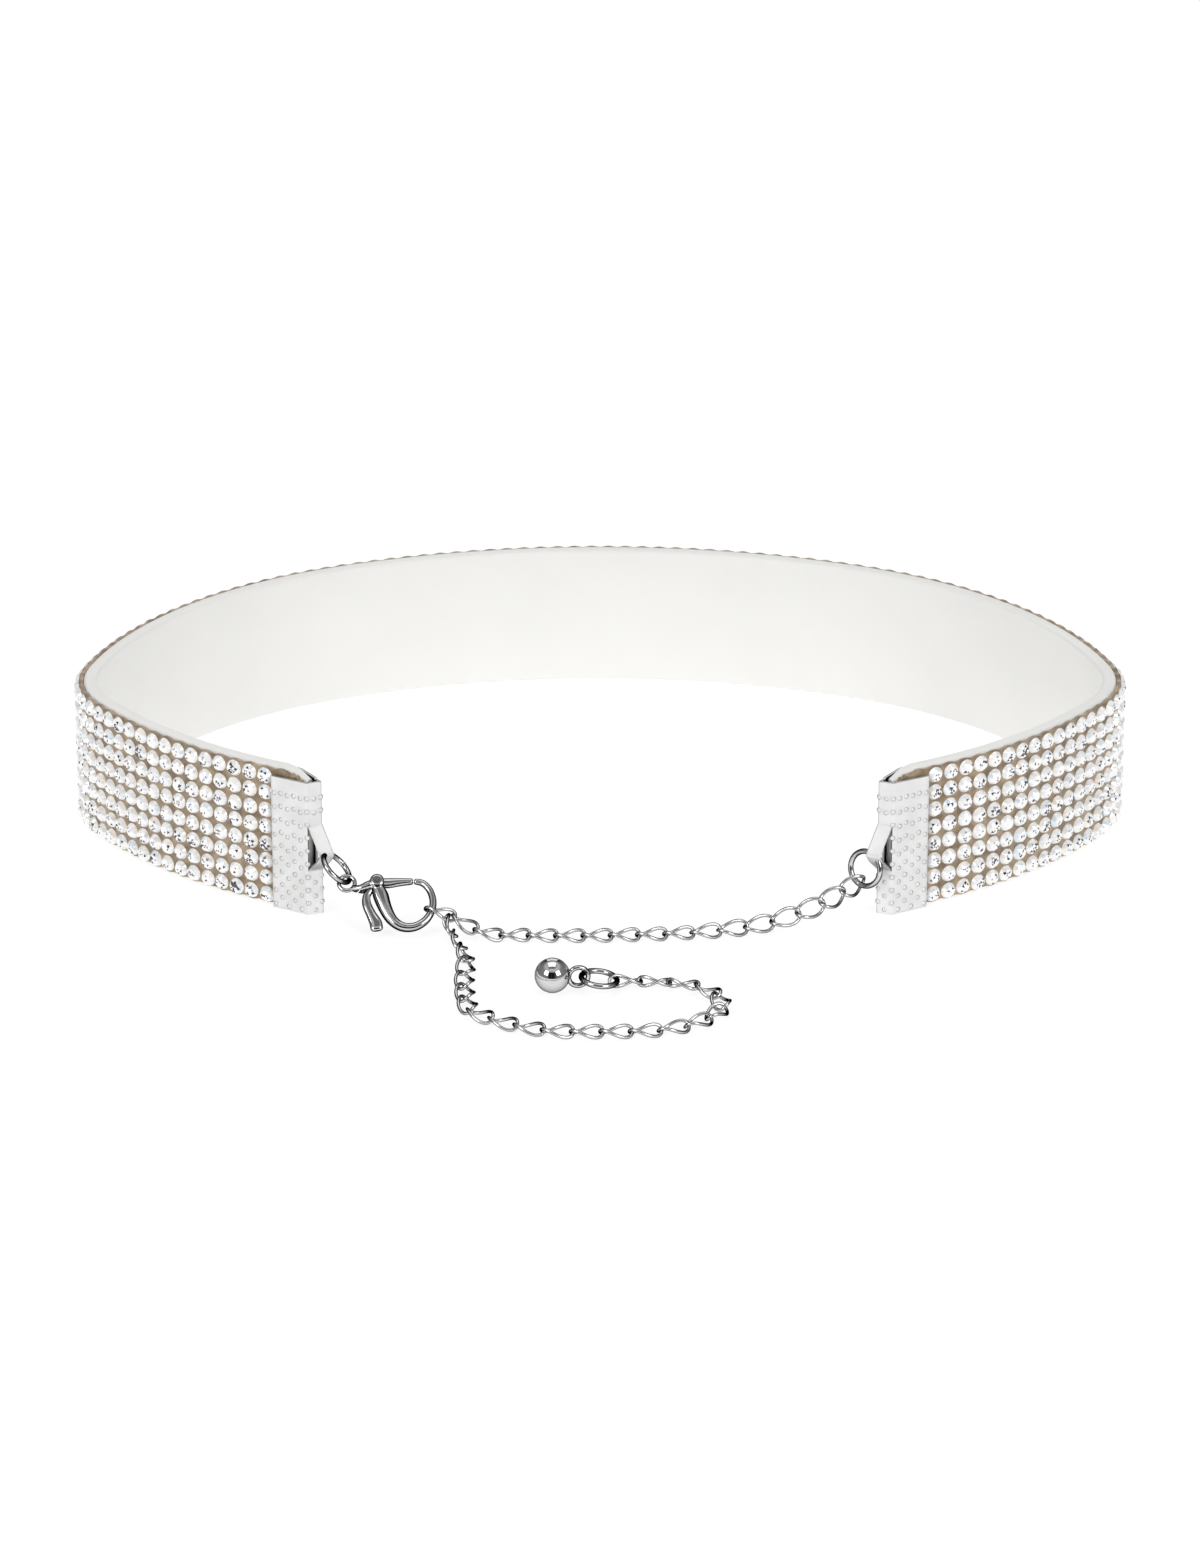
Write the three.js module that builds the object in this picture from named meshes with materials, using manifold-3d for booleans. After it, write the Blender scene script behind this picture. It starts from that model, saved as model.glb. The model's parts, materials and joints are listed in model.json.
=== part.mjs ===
// Choker necklace: a stone-set band standing on its edge, closed by a clasp and an extender chain.
// Millimetres, +Z up, the band's bottom edge rests on Z = 0.
import * as THREE from 'three';
import { mergeVertices } from 'three/addons/utils/BufferGeometryUtils.js';
import Module from 'manifold-3d';

const wasm = await Module();
wasm.setup();

const DEG = Math.PI / 180;

// General clearances
const GAP = 0.25;
const RUNNING_GAP = 0.16;
const RING_PLAY = 0.22;

// Band: plan arcs of its inner face, from the middle of the back to one end
const BACK_RADIUS = 91.8;
const BACK_TURN = 24.1 * DEG;
const SHOULDER_RADIUS = 54.6;
const SHOULDER_TURN = 50.9 * DEG;
const SIDE_RADIUS = 14.1;
const SIDE_TURN = 48.9 * DEG;
const FRONT_RADIUS = 67.0;
const FRONT_LENGTH = 31.5;
const END_STRAIGHT = 7.0;
const BACK_INSET = 45.0;
const TURN_STEP = 6 * DEG;

// Band: section
const BAND_HEIGHT = 19.8;
const BACKING_THICKNESS = 1.85;
const RESIN_THICKNESS = 0.5;
const RESIN_INSET = 0.1;
const STONE_ROWS = 8;
const STONE_DIAMETER = 2.2;
const STONE_TABLE = 1.2;
const STONE_STAND = 0.6;

// End clamps
const SHEET = 0.45;
const FLAP_LENGTH = 5.5;
const FLAP_HEIGHT = 18.4;
const CLAMP_HEIGHT = 19.2;
const BACK_CREASE = 3.2;
const NOSE_REACH = 1.4;
const NOSE_SHARE = 0.58;
const BAND_SETBACK = 3.5;
const FLOOR_CLEARANCE = 0.05;

// Bails pushed out of the clamps
const BAIL_WIDTH = 1.4;
const BAIL_THICKNESS = 0.45;
const BAIL_REACH = 2.0;
const SLOT_BOTTOM = 6.3;
const SLOT_HEIGHT = 6.6;
const BAIL_APEX_SHARE = 0.30;

// Jump rings
const RING_DIAMETER = 5.4;
const RING_WIRE = 0.75;
const RING_SLACK_ALONG = 0.4;
const RING_SLACK_UP = 0.35;
const RIGHT_RING_TURN = -37 * DEG;
const RIGHT_RING_LEAN = 15 * DEG;
const RIGHT_RING_AT_BAIL = 70 * DEG;
const RIGHT_RING_AT_CHAIN = 245 * DEG;
const LEFT_RING_DROP = new THREE.Vector3(0.55, -0.6, -0.64).normalize();

// Clasp, laid out in its own plane with the eye's middle as origin
const EYE_DIAMETER = 2.66;
const EYE_WIRE = 0.56;
const CLASP_LEAN = 48 * DEG;
const CLASP_LENGTH = 12.9;
const CLASP_WIDTH = 6.9;
const CASTING_THICKNESS = 2.0;
const KNUCKLE_DIAMETER = 1.9;
const KNUCKLE_WIDTH = 2.3;
const RIVET_DIAMETER = 0.7;
const LEVER_THICKNESS = 0.9;
const BARREL_DIAMETER = 1.6;
const LEVER_CLEARANCE = 0.2;
const LEVER_OPENS = 24 * DEG;

// Chain
const LINK_WIRE = 0.5;
const LINK_WIDTH = 2.85;
const LINK_PITCH = 3.7;
const LINK_BITE = 0.09;
const LINK_TWIST = 45 * DEG;
const WIRE_SIDES = 5;
const LINK_SEGMENTS = 12;

// Ball drop
const BALL_DIAMETER = 4.6;
const BALL_EYE_DIAMETER = 3.1;
const BALL_EYE_WIRE = 0.6;
const BALL_WAY = new THREE.Vector3(-0.985, -0.17, 0);

// Chain route: chosen points of the two stretches, x y z
const FASTENED_ROUTE = [
  [-15.2, -45.3, 0.8],
  [-8.0, -45.8, 0.75],
  [3.0, -45.6, 0.75],
  [14.0, -44.6, 0.8],
  [21.5, -43.1, 1.2],
  [28.4, -41.6, 3.0],
];
const TAIL_ROUTE = [
  [-17.3, -53.6, 0.8],
  [-17.6, -58.6, 0.75],
  [-17.3, -63.6, 0.75],
  [-16.9, -68.6, 0.75],
  [-12.9, -72.2, 0.75],
  [-6.8, -75.0, 0.75],
  [0.6, -75.3, 0.75],
  [8.6, -74.6, 0.75],
  [13.6, -71.6, 0.75],
  [16.0, -67.0, 0.75],
  [13.6, -62.4, 0.8],
  [8.6, -60.9, 0.9],
];
const TAIL_RING_CENTRE = new THREE.Vector3(-0.1, -61.1, 1.6);
const TAIL_RING_TIP = 7 * DEG;
const TAIL_LEAVES_HOOK_LINK = -58 * DEG;

// Materials
const ivory = new THREE.MeshStandardMaterial({ color: 0xf1efea, roughness: 0.45, metalness: 0 });
const stones = new THREE.MeshStandardMaterial({ color: 0xcfcac4, roughness: 0.15, metalness: 0.1 });
const paleMetal = new THREE.MeshStandardMaterial({ color: 0xdedcda, roughness: 0.35, metalness: 0.9 });
const silver = new THREE.MeshStandardMaterial({ color: 0xc9c9cb, roughness: 0.2, metalness: 1 });
const brightSilver = new THREE.MeshStandardMaterial({ color: 0xd2d2d4, roughness: 0.12, metalness: 1 });

// Booleans
function solidOf(geometry) {
  const bare = geometry.clone();
  bare.deleteAttribute('normal');
  bare.deleteAttribute('uv');
  const welded = mergeVertices(bare, 1e-5);
  const mesh = new wasm.Mesh({
    numProp: 3,
    vertProperties: new Float32Array(welded.attributes.position.array),
    triVerts: new Uint32Array(welded.index.array),
  });
  return new wasm.Manifold(mesh);
}

function geometryOf(solid) {
  const mesh = solid.getMesh();
  const geometry = new THREE.BufferGeometry();
  geometry.setAttribute('position', new THREE.BufferAttribute(new Float32Array(mesh.vertProperties), 3));
  geometry.setIndex(new THREE.BufferAttribute(new Uint32Array(mesh.triVerts), 1));
  return geometry;
}

function joined(geometries) {
  let whole = solidOf(geometries[0]);
  for (const geometry of geometries.slice(1)) {
    whole = whole.add(solidOf(geometry));
  }
  return whole;
}

// A mesh whose own origin is the middle of its box
function namedMesh(name, geometry, material) {
  geometry.computeBoundingBox();
  const middle = geometry.boundingBox.getCenter(new THREE.Vector3());
  geometry.translate(-middle.x, -middle.y, -middle.z);
  geometry.computeVertexNormals();
  const mesh = new THREE.Mesh(geometry, material);
  mesh.name = name;
  mesh.position.copy(middle);
  return mesh;
}

// Rings of points joined into a skin: open runs get end caps, closed runs meet their start
function skin(rings, closed, outline) {
  const positions = [];
  const index = [];
  const count = rings[0].length;
  for (const ring of rings) {
    for (const point of ring) {
      positions.push(point.x, point.y, point.z);
    }
  }
  const runs = closed ? rings.length : rings.length - 1;
  for (let i = 0; i < runs; i += 1) {
    const here = i * count;
    const next = ((i + 1) % rings.length) * count;
    for (let j = 0; j < count; j += 1) {
      const k = (j + 1) % count;
      index.push(here + j, here + k, next + j);
      index.push(here + k, next + k, next + j);
    }
  }
  if (!closed) {
    const last = (rings.length - 1) * count;
    for (const [a, b, c] of THREE.ShapeUtils.triangulateShape(outline, [])) {
      index.push(a, c, b);
      index.push(last + a, last + b, last + c);
    }
  }
  const geometry = new THREE.BufferGeometry();
  geometry.setAttribute('position', new THREE.Float32BufferAttribute(positions, 3));
  geometry.setIndex(index);
  return geometry;
}

// Plan of the band: arcs run into one another, then a straight end for the clamp
const PLAN = [
  { radius: BACK_RADIUS, length: BACK_RADIUS * BACK_TURN },
  { radius: SHOULDER_RADIUS, length: SHOULDER_RADIUS * SHOULDER_TURN },
  { radius: SIDE_RADIUS, length: SIDE_RADIUS * SIDE_TURN },
  { radius: FRONT_RADIUS, length: FRONT_LENGTH },
  { radius: Infinity, length: END_STRAIGHT },
];
const HALF_LENGTH = PLAN.reduce((sum, arc) => sum + arc.length, 0);

function planAt(distance) {
  let x = 0;
  let y = BACK_INSET;
  let heading = 0;
  let left = Math.abs(distance);
  for (const arc of PLAN) {
    const run = Math.min(left, arc.length);
    if (Number.isFinite(arc.radius)) {
      const turn = run / arc.radius;
      x += arc.radius * (Math.sin(heading) - Math.sin(heading - turn));
      y += arc.radius * (Math.cos(heading - turn) - Math.cos(heading));
      heading -= turn;
    } else {
      x += run * Math.cos(heading);
      y += run * Math.sin(heading);
    }
    left -= run;
    if (left <= 0) {
      break;
    }
  }
  const side = distance < 0 ? -1 : 1;
  return {
    place: new THREE.Vector3(side * x, y, 0),
    outward: new THREE.Vector3(-side * Math.sin(heading), Math.cos(heading), 0),
    towardEnd: new THREE.Vector3(side * Math.cos(heading), Math.sin(heading), 0),
  };
}

// Stations along the band, close together where it turns tightly
function stations(end) {
  const half = [0];
  let start = 0;
  for (const arc of PLAN) {
    const turn = Number.isFinite(arc.radius) ? arc.length / arc.radius : 0;
    const steps = Math.max(1, Math.ceil(turn / TURN_STEP));
    for (let i = 1; i <= steps; i += 1) {
      half.push(start + (arc.length * i) / steps);
    }
    start += arc.length;
  }
  const kept = half.filter((distance) => distance > 0 && distance < end - 0.4);
  kept.push(end);
  return [...kept.map((distance) => -distance).reverse(), 0, ...kept];
}

function bandSkin(places, profileAt) {
  const rings = places.map((distance) => {
    const { place, outward } = planAt(distance);
    return profileAt(distance).map(
      ([out, z]) => new THREE.Vector3(place.x + outward.x * out, place.y + outward.y * out, z),
    );
  });
  const outline = profileAt(places[0]).map(([out, z]) => new THREE.Vector2(out, z));
  return skin(rings, false, outline);
}

const BAND_END = HALF_LENGTH - BAND_SETBACK;
const FIELD_INNER = BACKING_THICKNESS + GAP;
const RESIN_FACE = FIELD_INNER + RESIN_THICKNESS;
const STONE_FACE = RESIN_FACE + STONE_STAND;

const backing = bandSkin(stations(BAND_END), () => [
  [0, 0],
  [BACKING_THICKNESS, 0],
  [BACKING_THICKNESS, BAND_HEIGHT],
  [0, BAND_HEIGHT],
]);

// Stone rows: raised rows on the resin, ending where the clamps' flaps begin
const ROW_PITCH = (BAND_HEIGHT - 2 * RESIN_INSET) / STONE_ROWS;
const STONES_END = HALF_LENGTH - FLAP_LENGTH - GAP;

function fieldProfile(stand) {
  const profile = [[FIELD_INNER, RESIN_INSET], [RESIN_FACE, RESIN_INSET]];
  const table = Math.min(STONE_TABLE, 0.9 * STONE_DIAMETER);
  const girdle = Math.min(STONE_DIAMETER, 0.94 * ROW_PITCH);
  for (let row = 0; row < STONE_ROWS; row += 1) {
    const middle = RESIN_INSET + (row + 0.5) * ROW_PITCH;
    profile.push([RESIN_FACE, middle - girdle / 2]);
    profile.push([RESIN_FACE + stand, middle - (girdle * table) / STONE_DIAMETER / 2]);
    profile.push([RESIN_FACE + stand, middle + (girdle * table) / STONE_DIAMETER / 2]);
    profile.push([RESIN_FACE, middle + girdle / 2]);
  }
  profile.push([RESIN_FACE, BAND_HEIGHT - RESIN_INSET]);
  profile.push([FIELD_INNER, BAND_HEIGHT - RESIN_INSET]);
  return profile;
}

const rows = bandSkin(stations(STONES_END), () => fieldProfile(STONE_STAND));
const resin = bandSkin(stations(BAND_END), () => [
  [FIELD_INNER, RESIN_INSET],
  [RESIN_FACE, RESIN_INSET],
  [RESIN_FACE, BAND_HEIGHT - RESIN_INSET],
  [FIELD_INNER, BAND_HEIGHT - RESIN_INSET],
]);

// Local frame of one clamp: along the band, outward, up
function endFrame(side) {
  const { place, outward, towardEnd } = planAt(side * HALF_LENGTH);
  const up = new THREE.Vector3(0, 0, 1);
  return new THREE.Matrix4().makeBasis(towardEnd, outward, up).setPosition(place);
}

// Clamp sheet: a folded strip that grips the band and closes to a nose
const FLAP_INNER = RESIN_FACE + GAP;
const FLAP_OUTER = FLAP_INNER + SHEET;
const BACK_OUTER = -GAP - SHEET;
const NOSE_OUT = BACK_OUTER + NOSE_SHARE * (FLAP_OUTER - BACK_OUTER);

function sheetOutline() {
  return [
    [-FLAP_LENGTH, FLAP_OUTER],
    [0, FLAP_OUTER],
    [NOSE_REACH, NOSE_OUT],
    [-BACK_CREASE, BACK_OUTER],
    [-FLAP_LENGTH, BACK_OUTER],
    [-FLAP_LENGTH, -GAP],
    [-BACK_CREASE - 0.1, -GAP],
    [NOSE_REACH - 1.7 * SHEET, NOSE_OUT + 0.05],
    [-0.5 * SHEET, FLAP_INNER],
    [-FLAP_LENGTH, FLAP_INNER],
  ];
}

function prism(points, from, height) {
  const shape = new THREE.Shape(points.map(([u, v]) => new THREE.Vector2(u, v)));
  const geometry = new THREE.ExtrudeGeometry(shape, { depth: height, bevelEnabled: false });
  geometry.translate(0, 0, from);
  return geometry;
}

function block(x0, x1, y0, y1, z0, z1) {
  const geometry = new THREE.BoxGeometry(x1 - x0, y1 - y0, z1 - z0);
  geometry.translate((x0 + x1) / 2, (y0 + y1) / 2, (z0 + z1) / 2);
  return geometry;
}

// Bail: a strip of the nose pushed out to a point, seen from the side as along and up
const SLOT_TOP = SLOT_BOTTOM + SLOT_HEIGHT;
const BAIL_APEX_UP = SLOT_BOTTOM + BAIL_APEX_SHARE * SLOT_HEIGHT;
const BAIL_APEX_ALONG = NOSE_REACH + BAIL_REACH;

function bailOutline() {
  const root = NOSE_REACH - 0.8 * SHEET;
  const t = BAIL_THICKNESS;
  return [
    [root, SLOT_TOP + 0.5],
    [NOSE_REACH, SLOT_TOP + 0.5],
    [NOSE_REACH + 0.35 * BAIL_REACH, SLOT_TOP - 0.9],
    [BAIL_APEX_ALONG, BAIL_APEX_UP + 0.6],
    [BAIL_APEX_ALONG, BAIL_APEX_UP - 0.3],
    [NOSE_REACH + 0.3 * BAIL_REACH, SLOT_BOTTOM - 0.3],
    [NOSE_REACH, SLOT_BOTTOM - 0.5],
    [root, SLOT_BOTTOM - 0.5],
    [root, SLOT_BOTTOM + 0.1],
    [NOSE_REACH + 0.1 * BAIL_REACH, SLOT_BOTTOM + 0.2],
    [BAIL_APEX_ALONG - t, BAIL_APEX_UP - 0.1],
    [BAIL_APEX_ALONG - t, BAIL_APEX_UP + 0.45],
    [NOSE_REACH + 0.1 * BAIL_REACH, SLOT_TOP - 0.9],
    [root, SLOT_TOP - 0.2],
  ];
}

function clampSolid(side) {
  const sheet = solidOf(prism(sheetOutline(), FLOOR_CLEARANCE, CLAMP_HEIGHT));
  const shorter = solidOf(block(-FLAP_LENGTH - 1, -0.3, FLAP_INNER - 0.2, FLAP_OUTER + 1,
    FLOOR_CLEARANCE + FLAP_HEIGHT, BAND_HEIGHT + 3));
  const slot = solidOf(block(-1.2 * SHEET, NOSE_REACH + 1, NOSE_OUT - BAIL_WIDTH / 2 - 0.1,
    NOSE_OUT + BAIL_WIDTH / 2 + 0.1, SLOT_BOTTOM, SLOT_TOP));
  const bail = prism(bailOutline(), -BAIL_WIDTH / 2, BAIL_WIDTH);
  bail.applyMatrix4(new THREE.Matrix4().set(
    1, 0, 0, 0,
    0, 0, -1, NOSE_OUT,
    0, 1, 0, 0,
    0, 0, 0, 1,
  ));
  const geometry = geometryOf(sheet.subtract(shorter).subtract(slot).add(solidOf(bail)));
  geometry.applyMatrix4(endFrame(side));
  if (side < 0) {
    const order = geometry.index.array;
    for (let i = 0; i < order.length; i += 3) {
      const held = order[i];
      order[i] = order[i + 1];
      order[i + 1] = held;
    }
  }
  return geometry;
}

// The point in a bail where a ring's wire passes
function bailPoint(side) {
  const inside = BAIL_APEX_ALONG - BAIL_THICKNESS - RING_WIRE / 2 - RUNNING_GAP - RING_SLACK_ALONG;
  return new THREE.Vector3(inside, NOSE_OUT, BAIL_APEX_UP + RING_SLACK_UP).applyMatrix4(endFrame(side));
}

// A round ring in the plane of two directions
function ringGeometry(diameter, wire, centre, first, second, segments = 24, sides = 10) {
  const geometry = new THREE.TorusGeometry((diameter - wire) / 2, wire / 2, sides, segments);
  const u = first.clone().normalize();
  const v = second.clone().addScaledVector(u, -second.dot(u)).normalize();
  const w = u.clone().cross(v);
  geometry.applyMatrix4(new THREE.Matrix4().makeBasis(u, v, w).setPosition(centre));
  return geometry;
}

const RING_RADIUS = (RING_DIAMETER - RING_WIRE) / 2;

// Right ring: hangs in the right bail and takes the chain
const rightAcross = new THREE.Vector3(Math.cos(RIGHT_RING_TURN), Math.sin(RIGHT_RING_TURN), 0);
const rightUp = new THREE.Vector3(0, Math.sin(RIGHT_RING_LEAN), Math.cos(RIGHT_RING_LEAN));
rightUp.addScaledVector(rightAcross, -rightUp.dot(rightAcross)).normalize();

function onRightRing(angle) {
  return rightAcross.clone().multiplyScalar(RING_RADIUS * Math.cos(angle))
    .addScaledVector(rightUp, RING_RADIUS * Math.sin(angle));
}

const rightRingCentre = bailPoint(1).sub(onRightRing(RIGHT_RING_AT_BAIL));
const rightRing = ringGeometry(RING_DIAMETER, RING_WIRE, rightRingCentre, rightAcross, rightUp);

// Left ring: hangs in the left bail and holds the clasp's eye
const leftRingCentre = bailPoint(-1).addScaledVector(LEFT_RING_DROP, RING_RADIUS);
const leftRingAcross = new THREE.Vector3(0.45, 0.9, -0.3);
const leftRing = ringGeometry(RING_DIAMETER, RING_WIRE, leftRingCentre, LEFT_RING_DROP,
  leftRingAcross);
const leftRingLow = bailPoint(-1).addScaledVector(LEFT_RING_DROP, 2 * RING_RADIUS);

// Clasp frame: along X, leaning back
const eyeSlack = (EYE_DIAMETER - 2 * EYE_WIRE - RING_WIRE) / 2 - RUNNING_GAP;
const claspAlong = new THREE.Vector3(1, 0, 0);
const claspUp = new THREE.Vector3(0, Math.sin(CLASP_LEAN), Math.cos(CLASP_LEAN));
const claspOut = claspAlong.clone().cross(claspUp);
const eyeCentre = leftRingLow.clone().addScaledVector(claspAlong, eyeSlack * 0.6)
  .addScaledVector(claspUp, -eyeSlack * 0.6);
const claspFrame = new THREE.Matrix4().makeBasis(claspAlong, claspUp, claspOut).setPosition(eyeCentre);

// Clasp tables: shares of the clasp's length and width, half sizes as shares of the casting's thickness
const HOOK_ROWS = [
  { along: 0.300, up: -0.035, half: 0.400, thick: 0.475 },
  { along: 0.345, up: -0.240, half: 0.525, thick: 0.490 },
  { along: 0.392, up: -0.500, half: 0.460, thick: 0.460 },
  { along: 0.458, up: -0.740, half: 0.380, thick: 0.400 },
  { along: 0.545, up: -0.885, half: 0.320, thick: 0.350 },
  { along: 0.640, up: -0.925, half: 0.290, thick: 0.310 },
  { along: 0.735, up: -0.880, half: 0.275, thick: 0.290 },
  { along: 0.820, up: -0.750, half: 0.260, thick: 0.270 },
  { along: 0.872, up: -0.560, half: 0.245, thick: 0.250 },
  { along: 0.882, up: -0.360, half: 0.240, thick: 0.240 },
  { along: 0.848, up: -0.150, half: 0.230, thick: 0.230 },
  { along: 0.780, up: -0.005, half: 0.220, thick: 0.230 },
  { along: 0.700, up: 0.035, half: 0.190, thick: 0.210 },
];
const NECK_ROWS = [
  { along: 0.060, up: -0.110, half: 0.150, thick: 0.170 },
  { along: 0.150, up: -0.120, half: 0.225, thick: 0.300 },
  { along: 0.230, up: -0.060, half: 0.300, thick: 0.425 },
  { along: 0.315, up: -0.030, half: 0.390, thick: 0.475 },
];
const GATE_ROWS = [
  { along: 0.310, up: 0.000, half: 0.310 },
  { along: 0.420, up: 0.020, half: 0.280 },
  { along: 0.520, up: 0.035, half: 0.230 },
  { along: 0.655, up: 0.035, half: 0.190 },
];
const TAB_ROWS = [
  { along: 0.310, up: 0.000, half: 0.275 },
  { along: 0.215, up: -0.220, half: 0.250 },
  { along: 0.205, up: -0.420, half: 0.310 },
  { along: 0.252, up: -0.640, half: 0.340 },
  { along: 0.300, up: -0.830, half: 0.370 },
  { along: 0.300, up: -0.960, half: 0.210 },
];

// A rounded bar through a table's rows, in the clasp's own plane
function bar(rowsOfBar, thickOf, grow, sides) {
  const points = rowsOfBar.map((row) => new THREE.Vector2(row.along * CLASP_LENGTH, row.up * CLASP_WIDTH));
  const rings = rowsOfBar.map((row, i) => {
    const before = points[Math.max(0, i - 1)];
    const after = points[Math.min(points.length - 1, i + 1)];
    const heading = after.clone().sub(before).normalize();
    const across = new THREE.Vector2(-heading.y, heading.x);
    const ring = [];
    for (let j = 0; j < sides; j += 1) {
      const angle = ((j + 0.5) * 2 * Math.PI) / sides;
      const reach = (row.half * CASTING_THICKNESS + grow) * Math.cos(angle);
      const depth = (thickOf(row) + grow) * Math.sin(angle);
      ring.push(new THREE.Vector3(points[i].x + across.x * reach, points[i].y + across.y * reach, depth));
    }
    return ring;
  });
  const outline = rings[0].map((_, j) => {
    const angle = ((j + 0.5) * 2 * Math.PI) / sides;
    return new THREE.Vector2(Math.cos(angle), Math.sin(angle));
  });
  return skin(rings, false, outline);
}

function disc(diameter, width, sides) {
  const geometry = new THREE.CylinderGeometry(diameter / 2, diameter / 2, width, sides);
  geometry.rotateX(Math.PI / 2);
  geometry.translate(PIVOT.x, PIVOT.y, 0);
  return geometry;
}

const PIVOT = new THREE.Vector2(0.310 * CLASP_LENGTH, 0);

function leverSolid(grow) {
  const half = LEVER_THICKNESS / 2;
  const gate = bar(GATE_ROWS, () => half, grow, 8);
  const tab = bar(TAB_ROWS, () => half, grow, 8);
  const barrel = disc(BARREL_DIAMETER + 2 * grow, LEVER_THICKNESS + 2 * grow, 14);
  return joined([gate, tab, barrel]);
}

// A solid turned about the rivet
function turned(solid, angle) {
  return solid.translate([-PIVOT.x, -PIVOT.y, 0])
    .rotate([0, 0, angle / DEG])
    .translate([PIVOT.x, PIVOT.y, 0]);
}

const eye = new THREE.TorusGeometry((EYE_DIAMETER - EYE_WIRE) / 2, EYE_WIRE / 2, 8, 16);
let claspBodySolid = joined([
  bar(HOOK_ROWS, (row) => row.thick * CASTING_THICKNESS, 0, 10),
  bar(NECK_ROWS, (row) => row.thick * CASTING_THICKNESS, 0, 8),
  disc(KNUCKLE_DIAMETER, KNUCKLE_WIDTH, 16),
  eye,
]);
const leverRoom = leverSolid(LEVER_CLEARANCE);
for (const share of [0, 0.34, 0.67, 1]) {
  claspBodySolid = claspBodySolid.subtract(turned(leverRoom, -share * LEVER_OPENS * 1.06));
}
claspBodySolid = claspBodySolid.add(solidOf(disc(RIVET_DIAMETER, KNUCKLE_WIDTH + 0.1, 10)));
const claspBody = geometryOf(claspBodySolid);
claspBody.applyMatrix4(claspFrame);

const leverBore = solidOf(disc(RIVET_DIAMETER + 2 * LEVER_CLEARANCE, LEVER_THICKNESS + 1, 12));
const claspLever = geometryOf(leverSolid(0).subtract(leverBore));
claspLever.applyMatrix4(claspFrame);

// One curb link about its own middle, long way on X, its ends turned opposite ways
function linkPath(span, t) {
  const a = (span + LINK_WIRE - LINK_BITE) / 2;
  const b = (LINK_WIDTH - LINK_WIRE) / 2;
  const x = a * Math.cos(t);
  const y = b * Math.sign(Math.sin(t)) * Math.abs(Math.sin(t)) ** 0.8;
  const roll = (LINK_TWIST * x) / a;
  return new THREE.Vector3(x, y * Math.cos(roll), y * Math.sin(roll));
}

function linkHeading(span, t) {
  return linkPath(span, t + 0.02).sub(linkPath(span, t - 0.02)).normalize();
}

function linkSkin(span) {
  const rings = [];
  for (let i = 0; i < LINK_SEGMENTS; i += 1) {
    const t = (i * 2 * Math.PI) / LINK_SEGMENTS;
    const here = linkPath(span, t);
    const heading = linkHeading(span, t);
    const out = new THREE.Vector3(here.x, here.y, here.z);
    out.addScaledVector(heading, -out.dot(heading)).normalize();
    const across = heading.clone().cross(out);
    const ring = [];
    for (let j = 0; j < WIRE_SIDES; j += 1) {
      const angle = Math.PI + (j * 2 * Math.PI) / WIRE_SIDES;
      ring.push(here.clone()
        .addScaledVector(out, (LINK_WIRE / 2) * Math.cos(angle))
        .addScaledVector(across, (LINK_WIRE / 2) * Math.sin(angle)));
    }
    rings.push(ring);
  }
  return skin(rings, true, null);
}

// Frame of a link: its long way, and its face turned by a roll about that
function linkFrame(from, to, roll) {
  const along = to.clone().sub(from).normalize();
  const level = new THREE.Vector3(0, 0, 1).cross(along).normalize();
  const up = along.clone().cross(level);
  const side = level.clone().multiplyScalar(Math.cos(roll)).addScaledVector(up, Math.sin(roll));
  const face = along.clone().cross(side);
  return new THREE.Matrix4().makeBasis(along, side, face)
    .setPosition(from.clone().add(to).multiplyScalar(0.5));
}

// Evenly spaced joints along a route
function jointsAlong(points) {
  const curve = new THREE.CatmullRomCurve3(points, false, 'centripetal');
  curve.arcLengthDivisions = 800;
  const count = Math.max(2, Math.round(curve.getLength() / LINK_PITCH));
  return curve.getSpacedPoints(count);
}

// Roll that sets a link's end wire square to a wire it passes
function rollFor(along, wire, atStart) {
  const level = new THREE.Vector3(0, 0, 1).cross(along).normalize();
  const up = along.clone().cross(level);
  const square = along.clone().cross(wire).normalize();
  const endRoll = Math.atan2(square.dot(up), square.dot(level));
  const roll = endRoll + (atStart ? LINK_TWIST : -LINK_TWIST);
  return roll - Math.PI * Math.round(roll / Math.PI);
}

function chainSolid(joints, firstRoll, lastRoll, settle) {
  const links = [];
  const count = joints.length - 1;
  for (let i = 0; i < count; i += 1) {
    const span = joints[i].distanceTo(joints[i + 1]);
    const fromFirst = Math.max(0, 1 - i / settle);
    const fromLast = Math.max(0, 1 - (count - 1 - i) / settle);
    const roll = firstRoll * fromFirst + lastRoll * fromLast;
    const link = linkSkin(span);
    link.applyMatrix4(linkFrame(joints[i], joints[i + 1], roll));
    link.computeBoundingBox();
    const low = link.boundingBox.min.z;
    if (low < 0.03) {
      link.translate(0, 0, 0.03 - low);
    }
    links.push(link);
  }
  return joined(links);
}

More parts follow.
